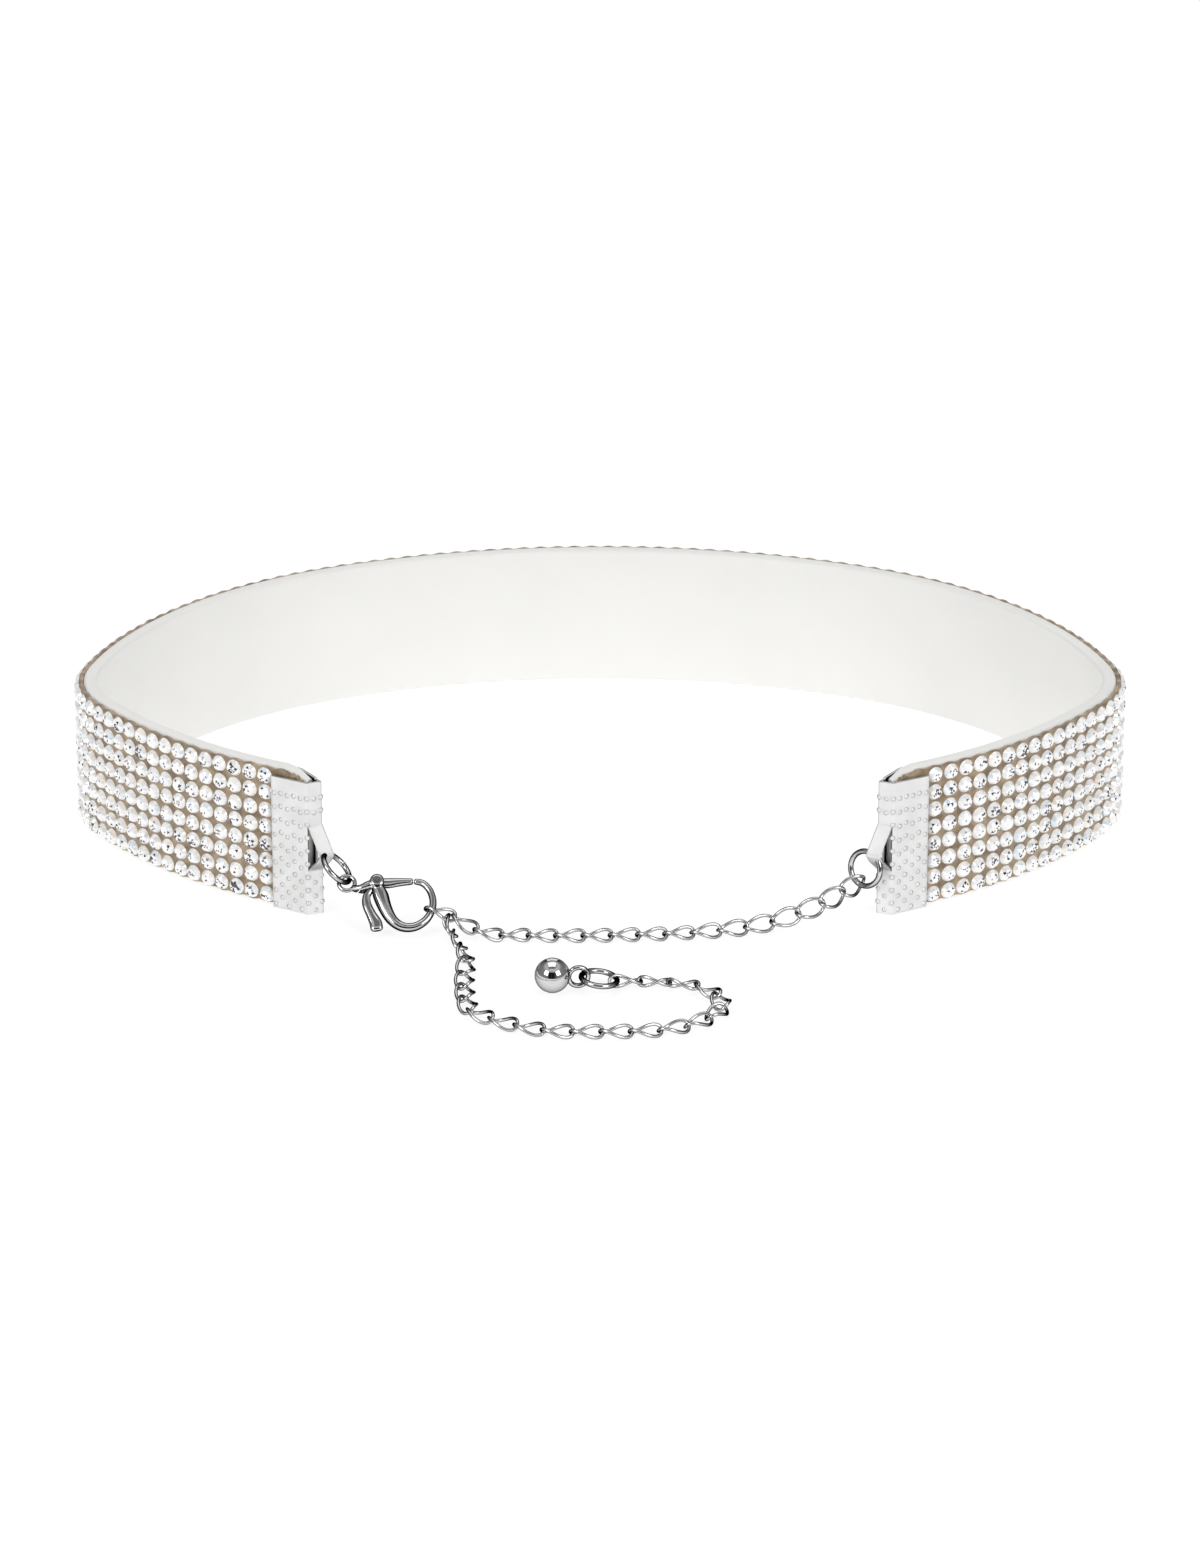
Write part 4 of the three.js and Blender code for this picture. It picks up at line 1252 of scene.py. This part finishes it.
# Clasp, laid out in its own plane from the eye's middle: shares of length and width, then half sizes in mm
HOOK_ROWS = (
    (0.300, -0.035, 0.80, 0.95), (0.345, -0.240, 1.05, 0.98), (0.392, -0.500, 0.92, 0.92),
    (0.458, -0.740, 0.76, 0.80), (0.545, -0.885, 0.64, 0.70), (0.640, -0.925, 0.58, 0.62),
    (0.735, -0.880, 0.55, 0.58), (0.820, -0.750, 0.52, 0.54), (0.872, -0.560, 0.49, 0.50),
    (0.882, -0.360, 0.48, 0.48), (0.848, -0.150, 0.46, 0.46), (0.780, -0.005, 0.44, 0.46),
    (0.700, 0.035, 0.38, 0.42),
)
NECK_ROWS = (
    (0.060, -0.110, 0.36, 0.42), (0.150, -0.120, 0.52, 0.88), (0.230, -0.060, 0.64, 0.98),
    (0.315, -0.030, 0.80, 1.00),
)
GATE_ROWS = (
    (0.310, 0.000, 0.64), (0.420, 0.000, 0.70), (0.520, 0.018, 0.58), (0.662, 0.035, 0.41),
)
TAB_ROWS = (
    (0.310, 0.000, 0.55), (0.215, -0.220, 0.50), (0.205, -0.420, 0.62), (0.252, -0.640, 0.68),
    (0.300, -0.820, 0.84), (0.312, -0.935, 0.86),
)
PIVOT_SHARE = 0.310
HOOK_LINK_ROW = 8
# Domed ends of a bar: steps over the dome, and its height as a share of the bar's half width
DOME_STEPS = (0.45, 0.8)
DOME_HEIGHT = 0.6
# A disc's profile: share of its half width, share of its radius
DISC_FORM = ((-1.0, 0.72), (-0.85, 1.0), (0.85, 1.0), (1.0, 0.72))
# Room cut for the lever over its swing: steps, share of the swing
CUTOUT_STEPS = 3
CUTOUT_SWING = 1.06
# Coarseness of that room and of the lever, against the casting
CUTOUT_VOXEL = 1.6
LEVER_VOXEL = 0.85
# The rivet's length past the knuckle, its dome, and the bore's length past the lever
RIVET_STANDS = 0.08
RIVET_DOME = 0.05
BORE_PASSES = 1.0


def clasp_frame(clasp):
    """Frame of the clasp's plane, worked out from the lever's hinge."""
    hinge = next(joint for joint in frame["joints"] if joint["child"] == "lever")
    out = Vector(hinge["axis"]).normalized()
    up = out.cross(X_AXIS)
    pivot = Vector(hinge["pos_m"]) / MM
    eye = pivot - X_AXIS * PIVOT_SHARE * clasp.length
    return Matrix.Translation(eye) @ Matrix((X_AXIS, up, out)).transposed().to_4x4()


def eased_rows(rows, steps):
    """Rows of a table with smooth rows between them."""
    found = []
    for i in range(len(rows) - 1):
        around = [rows[max(0, i - 1)], rows[i], rows[i + 1], rows[min(len(rows) - 1, i + 2)]]
        for k in range(steps):
            t = k / steps
            weights = (
                -t / 2 + t ** 2 - t ** 3 / 2, 1 - 2.5 * t ** 2 + 1.5 * t ** 3,
                t / 2 + 2 * t ** 2 - 1.5 * t ** 3, -t ** 2 / 2 + t ** 3 / 2,
            )
            found.append(tuple(
                sum(weight * row[column] for weight, row in zip(weights, around))
                for column in range(len(rows[0]))
            ))
    found.append(rows[-1])
    return found


def bar(clasp, rows, thick=None, grow=0.0, sides=16, squareness=0.8):
    """A rounded bar through a table's rows, with domed ends."""
    rows = eased_rows(rows, 4)
    spots = [Vector((row[0] * clasp.length, row[1] * clasp.width)) for row in rows]
    rings = []
    for i, row in enumerate(rows):
        way = (spots[min(i + 1, len(rows) - 1)] - spots[max(i - 1, 0)]).normalized()
        across = Vector((-way.y, way.x))
        depth = (row[3] if thick is None else thick) + grow
        ring = []
        for j in range(sides):
            turn = 2 * math.pi * (j + 0.5) / sides
            reach = (row[2] + grow) * math.copysign(abs(math.cos(turn)) ** squareness, math.cos(turn))
            rise = depth * math.copysign(abs(math.sin(turn)) ** squareness, math.sin(turn))
            ring.append(Vector((spots[i].x + across.x * reach, spots[i].y + across.y * reach, rise)))
        rings.append((ring, way, row[2]))
    whole = []
    for end, sign in ((rings[0], -1.0), (rings[-1], 1.0)):
        middle = sum(end[0], Vector()) / sides
        cap = []
        for t in DOME_STEPS:
            lift = Vector((end[1].x, end[1].y, 0.0)) * sign * end[2] * t * DOME_HEIGHT
            cap.append([middle + (point - middle) * math.sqrt(1 - t * t) + lift for point in end[0]])
        whole.append(cap)
    return skin(list(reversed(whole[0])) + [ring for ring, _, _ in rings] + whole[1])


def disc(centre, diameter, width, sides=32, dome=0.0):
    """A short round bar across the clasp's plane, its ends domed a little."""
    rings = []
    for up, reach in DISC_FORM:
        lift = dome if abs(up) == 1.0 else 0.0
        rings.append([
            Vector((
                centre.x + diameter / 2 * reach * math.cos(turn),
                centre.y + diameter / 2 * reach * math.sin(turn),
                up * width / 2 + math.copysign(lift, up),
            ))
            for turn in round_turns(sides)
        ])
    return skin(rings)


def lever_shells(clasp, grow=0.0):
    """The lever's gate, tab and barrel."""
    pivot = Vector((PIVOT_SHARE * clasp.length, 0.0))
    half = clasp.lever / 2
    return [
        bar(clasp, GATE_ROWS, half, grow),
        bar(clasp, TAB_ROWS, half, grow),
        disc(pivot, clasp.barrel + 2 * grow, clasp.lever + 2 * grow),
    ]


def about_pivot(clasp, turn):
    """A turn of the clasp's plane about its rivet."""
    pivot = Vector((PIVOT_SHARE * clasp.length, 0.0, 0.0))
    return Matrix.Translation(pivot) @ Matrix.Rotation(turn, 4, "Z") @ Matrix.Translation(-pivot)


def placed_casting(piece, matrix, smooth_below=45):
    """A casting taken from its own plane to its place, in metres."""
    piece.data.transform(Matrix.Scale(MM, 4) @ matrix)
    soften(piece.data, smooth_below)
    return piece


def build_clasp_body(context):
    """The clasp's casting: hook, neck, eye and knuckle, cut out for the lever and riveted."""
    clasp = in_mm(context.scene.choker_clasp)
    pivot = Vector((PIVOT_SHARE * clasp.length, 0.0))
    eye = ring_shell(Vector(), X_AXIS, Y_AXIS, clasp.eye, clasp.eye_wire, 0.0, segments=48)
    casting = fused("clasp_casting", [
        bar(clasp, HOOK_ROWS), bar(clasp, NECK_ROWS),
        disc(pivot, clasp.knuckle, clasp.knuckle_width), eye,
    ], clasp.voxel, 5)
    room = []
    for step in range(CUTOUT_STEPS + 1):
        turn = about_pivot(clasp, -step / CUTOUT_STEPS * clasp.opens * CUTOUT_SWING)
        for points, faces in lever_shells(clasp, clasp.room):
            room.append(([turn @ point for point in points], faces))
    cut_from(casting, fused("clasp_room", room, clasp.voxel * CUTOUT_VOXEL, 1))
    rivet = shell_object("clasp_rivet", [
        disc(pivot, clasp.rivet, clasp.knuckle_width + RIVET_STANDS, 20, RIVET_DOME),
    ], scale=1.0)
    piece = placed_casting(merged("clasp_casting", [casting, rivet]), clasp_frame(clasp))
    finish_piece(piece, polished_silver(context.scene.choker_finish), "necklace", "clasp", "clasp_body")


def build_lever(context):
    """The clasp's lever, bored for the rivet."""
    clasp = in_mm(context.scene.choker_clasp)
    pivot = Vector((PIVOT_SHARE * clasp.length, 0.0))
    lever = fused("thumb_lever", lever_shells(clasp), clasp.voxel * LEVER_VOXEL, 3)
    bore = shell_object("lever_bore", [
        disc(pivot, clasp.rivet + 2 * clasp.room, clasp.lever + BORE_PASSES),
    ], scale=1.0)
    piece = placed_casting(cut_from(lever, bore), clasp_frame(clasp))
    finish_piece(piece, polished_silver(context.scene.choker_finish), "lever", "clasp", "clasp_lever")


# Chain
FASTENED_ROUTE = (
    (-15.2, -45.3, 0.8), (-8.0, -45.8, 0.75), (3.0, -45.6, 0.75), (14.0, -44.6, 0.8),
    (21.5, -43.1, 1.2), (28.4, -41.6, 3.0),
)
TAIL_ROUTE = (
    (-17.3, -53.6, 0.8), (-17.6, -58.6, 0.75), (-17.3, -63.6, 0.75), (-16.9, -68.6, 0.75),
    (-12.9, -72.2, 0.75), (-6.8, -75.0, 0.75), (0.6, -75.3, 0.75), (8.6, -74.6, 0.75),
    (13.6, -71.6, 0.75), (16.0, -67.0, 0.75), (13.6, -62.4, 0.8), (8.6, -60.9, 0.9),
)
ROUTE_INSET = 45.0
HOOK_HEADING = Vector((1.0, -0.04, -0.30)).normalized()
LAST_HEADING = Vector((0.93, 0.25, 0.25)).normalized()
TAIL_END_HEADING = Vector((-0.985, 0.0, -0.17)).normalized()
TAIL_LEAVES = math.radians(-58)
# Play at the rings and over the floor, a link's squareness, and the step that tells a wire's way
END_PLAY = 0.22
FLOOR_PLAY = 0.03
LINK_SQUARENESS = 0.8
WAY_STEP = 0.02


def link_path(chain, span, turn):
    """A point on the middle line of one link, whose ends turn opposite ways."""
    reach = (span + chain.wire - chain.bite) / 2
    x = reach * math.cos(turn)
    swing = math.sin(turn)
    y = (chain.width - chain.wire) / 2 * math.copysign(abs(swing) ** LINK_SQUARENESS, swing)
    roll = chain.twist * x / reach
    return Vector((x, y * math.cos(roll), y * math.sin(roll)))


def link_way(chain, span, turn):
    """The way of a link's middle line."""
    before, after = (link_path(chain, span, turn + step) for step in (-WAY_STEP, WAY_STEP))
    return (after - before).normalized()


def link_shell(chain, span):
    """One link of round wire."""
    rings = []
    for turn in round_turns(chain.segments):
        here = link_path(chain, span, turn)
        way = link_way(chain, span, turn)
        out = (here - way * here.dot(way)).normalized()
        rings.append(hoop(here, out, way.cross(out), chain.drawn / 2, chain.sides))
    return skin(rings, closed=True)


def link_frame(start, end, roll):
    """Frame of a link between two joints, its face turned by a roll."""
    along = (end - start).normalized()
    level = Z_AXIS.cross(along).normalized()
    up = along.cross(level)
    side = level * math.cos(roll) + up * math.sin(roll)
    turned = Matrix((along, side, along.cross(side))).transposed()
    return Matrix.Translation((start + end) / 2) @ turned.to_4x4()


def curve_through(points, per_span=60):
    """A smooth line through chosen points, centripetal as a hanging chain's."""
    first = points[0] * 2 - points[1]
    last = points[-1] * 2 - points[-2]
    padded = [first, *points, last]
    line = []
    for i in range(1, len(padded) - 2):
        p0, p1, p2, p3 = padded[i - 1:i + 3]
        t0 = 0.0
        t1 = t0 + (p1 - p0).length ** 0.5
        t2 = t1 + (p2 - p1).length ** 0.5
        t3 = t2 + (p3 - p2).length ** 0.5
        for k in range(per_span):
            t = t1 + (t2 - t1) * k / per_span
            a1 = p0 * ((t1 - t) / (t1 - t0)) + p1 * ((t - t0) / (t1 - t0))
            a2 = p1 * ((t2 - t) / (t2 - t1)) + p2 * ((t - t1) / (t2 - t1))
            a3 = p2 * ((t3 - t) / (t3 - t2)) + p3 * ((t - t2) / (t3 - t2))
            b1 = a1 * ((t2 - t) / (t2 - t0)) + a2 * ((t - t0) / (t2 - t0))
            b2 = a2 * ((t3 - t) / (t3 - t1)) + a3 * ((t - t1) / (t3 - t1))
            line.append(b1 * ((t2 - t) / (t2 - t1)) + b2 * ((t - t1) / (t2 - t1)))
    line.append(points[-1])
    return line


def joints_along(points, pitch):
    """Evenly spaced joints along a smooth line."""
    line = curve_through(points)
    lengths = run_lengths(line)
    count = max(2, round(lengths[-1] / pitch))
    joints, i = [], 0
    for k in range(count + 1):
        run = lengths[-1] * k / count
        while i < len(line) - 2 and lengths[i + 1] < run:
            i += 1
        t = (run - lengths[i]) / (lengths[i + 1] - lengths[i])
        joints.append(line[i].lerp(line[i + 1], t))
    return joints


def roll_for(chain, along, wire, at_start):
    """Roll that sets a link's end square to a wire that it passes."""
    level = Z_AXIS.cross(along).normalized()
    up = along.cross(level)
    square = along.cross(wire).normalized()
    roll = math.atan2(square.dot(up), square.dot(level)) + (chain.twist if at_start else -chain.twist)
    return roll - math.pi * round(roll / math.pi)


def route_shift(band):
    """How far back the route's origin lies in the row frame."""
    return BACK_FACE - ROUTE_INSET - band.backing


def on_floor_plan(band, points):
    """Route points taken into the row frame."""
    return [Vector((x, y + route_shift(band), z)) for x, y, z in points]


def build_chain(context, name, node, joints, first_roll, last_roll, settle):
    """A run of links between joints, its end rolls fading out over a number of links."""
    chain = in_mm(context.scene.choker_chain)
    spans = [(after - before).length for before, after in zip(joints, joints[1:])]
    usual = spans[len(spans) // 2]
    shell = link_shell(chain, usual)
    places, turns, stretches = [], [], []
    count = len(spans)
    for i in range(count):
        roll = first_roll * max(0.0, 1 - i / settle)
        roll += last_roll * max(0.0, 1 - (count - 1 - i) / settle)
        place = link_frame(joints[i], joints[i + 1], roll)
        stretch = Vector(((spans[i] + chain.wire) / (usual + chain.wire), 1.0, 1.0))
        lowest = min((place @ (point * stretch)).z for point in shell[0])
        spot = place.to_translation()
        spot.z += max(0.0, FLOOR_PLAY - lowest)
        places.append(spot)
        turns.append(Vector(place.to_euler()))
        stretches.append(stretch)
    link = shell_object("link", [shell])
    points = point_object(name, places, {"turn": turns, "stretch": stretches})
    finish = chain_silver(context.scene.choker_finish)
    piece = grown(points, thread_tree, {"tree": "Thread links", "Link": link, "Finish": finish})
    remove_piece(link)
    soften(piece.data, 60)
    finish_piece(piece, finish, "necklace", "chain", node)


def build_chains(context):
    """The fastened stretch from hook to right ring, and the tail to its own ring."""
    band = in_mm(context.scene.choker_band)
    chain = in_mm(context.scene.choker_chain)
    clasp = in_mm(context.scene.choker_clasp)
    ring = in_mm(context.scene.choker_ring)
    place = clasp_frame(clasp)
    row = HOOK_ROWS[HOOK_LINK_ROW]
    hook = place @ Vector((row[0] * clasp.length, row[1] * clasp.width, 0.0))
    play = (chain.wire - chain.bite) / 2
    start = hook - HOOK_HEADING * (row[2] + chain.wire / 2 + ring.running - play)
    second = start + HOOK_HEADING * chain.pitch
    inset = ring.wire / 2 + chain.wire / 2 + ring.running + END_PLAY - play
    radius = (ring.diameter - ring.wire) / 2
    across, up = right_ring_ways(ring)
    at_ring = node_middle("jump_ring_right") + across * (radius * math.cos(RIGHT_RING_AT_CHAIN))
    at_ring += up * (radius * math.sin(RIGHT_RING_AT_CHAIN))
    route = [second, *on_floor_plan(band, FASTENED_ROUTE), at_ring + LAST_HEADING * inset]
    joints = [start, *joints_along(route, chain.pitch)]
    tangent = up * math.cos(RIGHT_RING_AT_CHAIN) - across * math.sin(RIGHT_RING_AT_CHAIN)
    first_roll = roll_for(chain, HOOK_HEADING, place.to_3x3() @ Y_AXIS, True)
    last_roll = roll_for(chain, (joints[-1] - joints[-2]).normalized(), tangent, False)
    build_chain(context, "extender_fastened", "chain_fastened", joints, first_roll, last_roll, settle=7)

    hook_link = link_frame(start, second, first_roll)
    side = hook_link @ link_path(chain, chain.pitch, TAIL_LEAVES)
    side_way = hook_link.to_3x3() @ link_way(chain, chain.pitch, TAIL_LEAVES)
    heading = side - (start + second) / 2
    heading = (heading - side_way * heading.dot(side_way)).normalized()
    tail_start = side - heading * (chain.wire + ring.running - play)
    tail_along, tail_across = tail_ring_ways(ring)
    ring_right = node_middle("tail_ring") - tail_along * radius
    route = [
        tail_start + heading * chain.pitch, *on_floor_plan(band, TAIL_ROUTE),
        ring_right + TAIL_END_HEADING * inset,
    ]
    joints = [tail_start, *joints_along(route, chain.pitch)]
    first_roll = roll_for(chain, heading, side_way, True)
    last_roll = roll_for(chain, (joints[-1] - joints[-2]).normalized(), tail_across, False)
    build_chain(context, "extender_tail", "chain_tail", joints, first_roll, last_roll, settle=4)


# Ball drop
BALL_WAY = Vector((-0.985, -0.17, 0.0))
# Degrees left out at each pole, the ball's steps and sides, and its seam's place and width in degrees
POLE = 4
BALL_STEPS = 40
BALL_SIDES = 64
SEAM_AT = 108.0
SEAM_WIDTH = 1.6
# Shares of the slack that the eye takes in its ring, and of the eye's wire sunk in the ball
SLACK_TAKEN = 0.9
EYE_SUNK = 0.7


def ball_shell(ring, centre, way):
    """A ball turned about its own way, with a seam round its middle."""
    side = way.cross(Z_AXIS).normalized()
    up = side.cross(way)
    radius = ring.ball / 2
    rings = []
    for i in range(BALL_STEPS + 1):
        turn = POLE + (180 - 2 * POLE) * i / BALL_STEPS
        seam = ring.seam * math.exp(-((turn - SEAM_AT) / SEAM_WIDTH) ** 2)
        reach = (radius - seam) * math.sin(math.radians(turn))
        along = -(radius - seam) * math.cos(math.radians(turn))
        rings.append(hoop(centre + way * along, side, up, reach, BALL_SIDES))
    return skin(rings)


def build_ball(context):
    """The ball drop: a plated ball with a seam, and its wire eye."""
    ring = in_mm(context.scene.choker_ring)
    tail_along, _ = tail_ring_ways(ring)
    left = node_middle("tail_ring") + tail_along * (ring.diameter - ring.wire) / 2
    slack = ring.ball_eye / 2 - ring.ball_wire - ring.wire / 2 - ring.running
    eye = left - X_AXIS * slack * SLACK_TAKEN
    reach = (ring.ball + ring.ball_eye) / 2 - ring.ball_wire * EYE_SUNK
    rise = ring.ball / 2 + FLOOR_PLAY - eye.z
    run = math.sqrt(max(0.1, reach ** 2 - rise ** 2))
    ball = eye + BALL_WAY * run + Z_AXIS * rise
    way = (ball - eye).normalized()
    finish = context.scene.choker_finish
    piece = shell_object("ball", [ball_shell(ring, ball, way)], smooth_below=60)
    finish_piece(piece, ball_silver(finish), "necklace", "ball", "ball_drop")
    loop = ring_shell(eye, BALL_WAY, Z_AXIS, ring.ball_eye, ring.ball_wire, 0.0, segments=48)
    finish_piece(shell_object("ball_eye", [loop]), polished_silver(finish), "necklace", "ball", "ball_drop")


# Stage
# Half the floor's side, and the share of its tone in its darker clouds
FLOOR_REACH = 4000.0
CLOUD_DEPTH = 0.99
# The room's light from below to overhead: place, level
ROOM_STOPS = (
    (0.0, 1.0), (0.49, 0.8), (0.505, 0.02), (0.82, 0.02), (0.86, 0.6), (0.9, 1.0), (0.945, 1.0),
    (0.965, 0.25), (1.0, 0.35),
)
# The room's sides: their grey, where they start and are full, and how far they cover the pattern
ROOM_SIDES = (0.75, 0.75, 0.75, 1.0)
SIDES_FROM = (0.22, 0.55)
SIDES_COVER = 0.5
# Soft lights: name, place, size, share of the key's power, whether polished metal mirrors them
SOFT_BOXES = (
    ("Soft box left", (-0.8, -0.8, 0.7), 0.6, 1.0, True),
    ("Soft box right", (0.8, -0.8, 0.7), 0.6, 1.0, True),
    ("Soft box top", (0.0, 0.2, 1.2), 0.8, 0.55, True),
    ("Soft box back", (0.0, 1.2, 0.6), 0.7, 0.6, True),
    ("Soft box front", (0.0, -1.3, 0.35), 0.5, 0.2, False),
)


def soft_box(name, place, size, power, mirrored):
    """A square soft light aimed at the necklace."""
    light = bpy.data.lights.new(name, "AREA")
    light.shape = "SQUARE"
    light.size = size
    light.energy = power
    lamp = bpy.data.objects.new(name, light)
    lamp.location = place
    lamp.rotation_euler = (-Vector(place)).to_track_quat("-Z", "Y").to_euler()
    lamp.visible_glossy = mirrored
    bpy.context.scene.collection.objects.link(lamp)


def room_light(strength):
    """A pale room, dark low in front and behind and grey overhead; the camera sees plain white."""
    world = bpy.data.worlds.new("Room")
    bpy.context.scene.world = world
    world.use_nodes = True
    tree = world.node_tree
    tree.nodes.clear()
    way = add_node(tree, "ShaderNodeTexCoord").outputs["Generated"]
    parts = add_node(tree, "ShaderNodeSeparateXYZ", {0: way})
    ramp = add_node(tree, "ShaderNodeValToRGB", {0: ranged(tree, parts.outputs[2], -1.0, 1.0)})
    while len(ramp.color_ramp.elements) < len(ROOM_STOPS):
        ramp.color_ramp.elements.new(0.5)
    for element, (place, level) in zip(ramp.color_ramp.elements, ROOM_STOPS):
        element.position = place
        element.color = (level, level, level, 1.0)
    across = maths(tree, "ABSOLUTE", parts.outputs[0])
    aside = ranged(tree, across, *SIDES_FROM, 0.0, SIDES_COVER)
    room = blended(tree, aside, ramp.outputs[0], ROOM_SIDES)
    seen = add_node(tree, "ShaderNodeLightPath").outputs["Is Camera Ray"]
    pattern = add_node(tree, "ShaderNodeBackground", {"Color": room, "Strength": strength})
    plain = add_node(tree, "ShaderNodeBackground", {"Color": (1.0, 1.0, 1.0, 1.0), "Strength": 1.0})
    mixed = add_node(tree, "ShaderNodeMixShader", {0: seen, 1: pattern.outputs[0], 2: plain.outputs[0]})
    add_node(tree, "ShaderNodeOutputWorld", {0: mixed.outputs[0]})


def build_stage(context):
    """Floor, light and camera."""
    stage = context.scene.choker_stage
    finish = context.scene.choker_finish
    corners = [Vector((x, y, 0.0)) * FLOOR_REACH for x, y in ((-1, -1), (1, -1), (1, 1), (-1, 1))]
    floor = shell_object("floor", [(corners, [(0, 1, 2, 3)])])
    material, tree, shader, place = new_material("Studio floor", Roughness=0.9, Specular_IOR_Level=0.1)
    if tree:
        cloud = add_node(tree, "ShaderNodeTexNoise", {"Vector": place, "Scale": 6.0})
        deep = tuple(CLOUD_DEPTH * value for value in finish.floor)
        base = blended(tree, cloud.outputs[0], (*finish.floor, 1.0), (*deep, 1.0))
        tree.links.new(base, shader.inputs["Base Color"])
        shader.inputs["Emission Color"].default_value = (1.0, 1.0, 1.0, 1.0)
        shader.inputs["Emission Strength"].default_value = stage.glow
    floor.data.materials.append(material)
    room_light(stage.sky)
    for name, place, size, power, mirrored in SOFT_BOXES:
        soft_box(name, place, size, stage.key * power, mirrored)

    camera = bpy.data.cameras.new("Camera")
    camera.lens = stage.focus
    camera.sensor_width = 36.0
    camera.shift_y = stage.drop / stage.picture_height
    camera.clip_start, camera.clip_end = 0.05, 20.0
    viewer = bpy.data.objects.new("Camera", camera)
    aim = Y_AXIS * (route_shift(in_mm(context.scene.choker_band)) * MM)
    back = Vector((0.0, -math.cos(stage.elevation), math.sin(stage.elevation)))
    viewer.location = aim + back * stage.distance
    viewer.rotation_euler = (math.pi / 2 - stage.elevation, 0.0, 0.0)
    context.scene.collection.objects.link(viewer)
    context.scene.camera = viewer
    context.scene.view_settings.view_transform = "Standard"


# Operators
class CHOKER_OT_backing(bpy.types.Operator):
    """Builds the pale backing"""
    bl_idname = "choker.backing"
    bl_label = "Backing"

    def execute(self, context):
        build_backing(context)
        return {"FINISHED"}


class CHOKER_OT_stones(bpy.types.Operator):
    """Builds the resin and the cut stones"""
    bl_idname = "choker.stones"
    bl_label = "Stone field"

    def execute(self, context):
        build_stones(context)
        return {"FINISHED"}


class CHOKER_OT_clamps(bpy.types.Operator):
    """Builds both end clamps"""
    bl_idname = "choker.clamps"
    bl_label = "Clamps"

    def execute(self, context):
        build_clamps(context)
        return {"FINISHED"}


class CHOKER_OT_rings(bpy.types.Operator):
    """Builds the jump rings"""
    bl_idname = "choker.rings"
    bl_label = "Jump rings"

    def execute(self, context):
        build_rings(context)
        return {"FINISHED"}


class CHOKER_OT_clasp(bpy.types.Operator):
    """Builds the clasp's casting and its lever"""
    bl_idname = "choker.clasp"
    bl_label = "Clasp"

    def execute(self, context):
        build_clasp_body(context)
        build_lever(context)
        return {"FINISHED"}


class CHOKER_OT_chain(bpy.types.Operator):
    """Builds both stretches of the extender chain"""
    bl_idname = "choker.chain"
    bl_label = "Extender chain"

    def execute(self, context):
        build_chains(context)
        return {"FINISHED"}


class CHOKER_OT_ball(bpy.types.Operator):
    """Builds the ball drop"""
    bl_idname = "choker.ball"
    bl_label = "Ball drop"

    def execute(self, context):
        build_ball(context)
        return {"FINISHED"}


class CHOKER_OT_stage(bpy.types.Operator):
    """Builds the floor, the lights and the camera"""
    bl_idname = "choker.stage"
    bl_label = "Stage"

    def execute(self, context):
        build_stage(context)
        return {"FINISHED"}


OPERATORS = (
    CHOKER_OT_stage, CHOKER_OT_backing, CHOKER_OT_stones, CHOKER_OT_clamps, CHOKER_OT_rings,
    CHOKER_OT_clasp, CHOKER_OT_chain, CHOKER_OT_ball,
)
GROUPS = {
    "choker_band": BandSizes, "choker_stone": StoneSizes, "choker_clamp": ClampSizes,
    "choker_ring": RingSizes, "choker_clasp": ClaspSizes, "choker_chain": ChainSizes,
    "choker_finish": Finishes, "choker_stage": StageSettings,
}


class CHOKER_PT_panel(bpy.types.Panel):
    """Choker pieces and their sizes"""
    bl_idname = "CHOKER_PT_panel"
    bl_label = "Choker"
    bl_space_type = "VIEW_3D"
    bl_region_type = "UI"
    bl_category = "Choker"

    def draw(self, context):
        for operator in OPERATORS:
            self.layout.operator(operator.bl_idname)
        for name, group in GROUPS.items():
            box = self.layout.box()
            box.label(text=group.__doc__)
            for prop in group.__annotations__:
                box.prop(getattr(context.scene, name), prop)


def register():
    """Registers the groups, the operators and the panel."""
    for name, group in GROUPS.items():
        bpy.utils.register_class(group)
        setattr(bpy.types.Scene, name, bpy.props.PointerProperty(type=group))
    for item in (*OPERATORS, CHOKER_PT_panel):
        bpy.utils.register_class(item)


def unregister():
    """Takes away what register added."""
    for item in (CHOKER_PT_panel, *reversed(OPERATORS)):
        bpy.utils.unregister_class(item)
    for name, group in GROUPS.items():
        delattr(bpy.types.Scene, name)
        bpy.utils.unregister_class(group)


def main():
    """Registers the add-on and builds everything."""
    register()
    for operator in OPERATORS:
        getattr(bpy.ops.choker, operator.bl_idname.split(".")[1])()


if __name__ == "__main__":
    main()
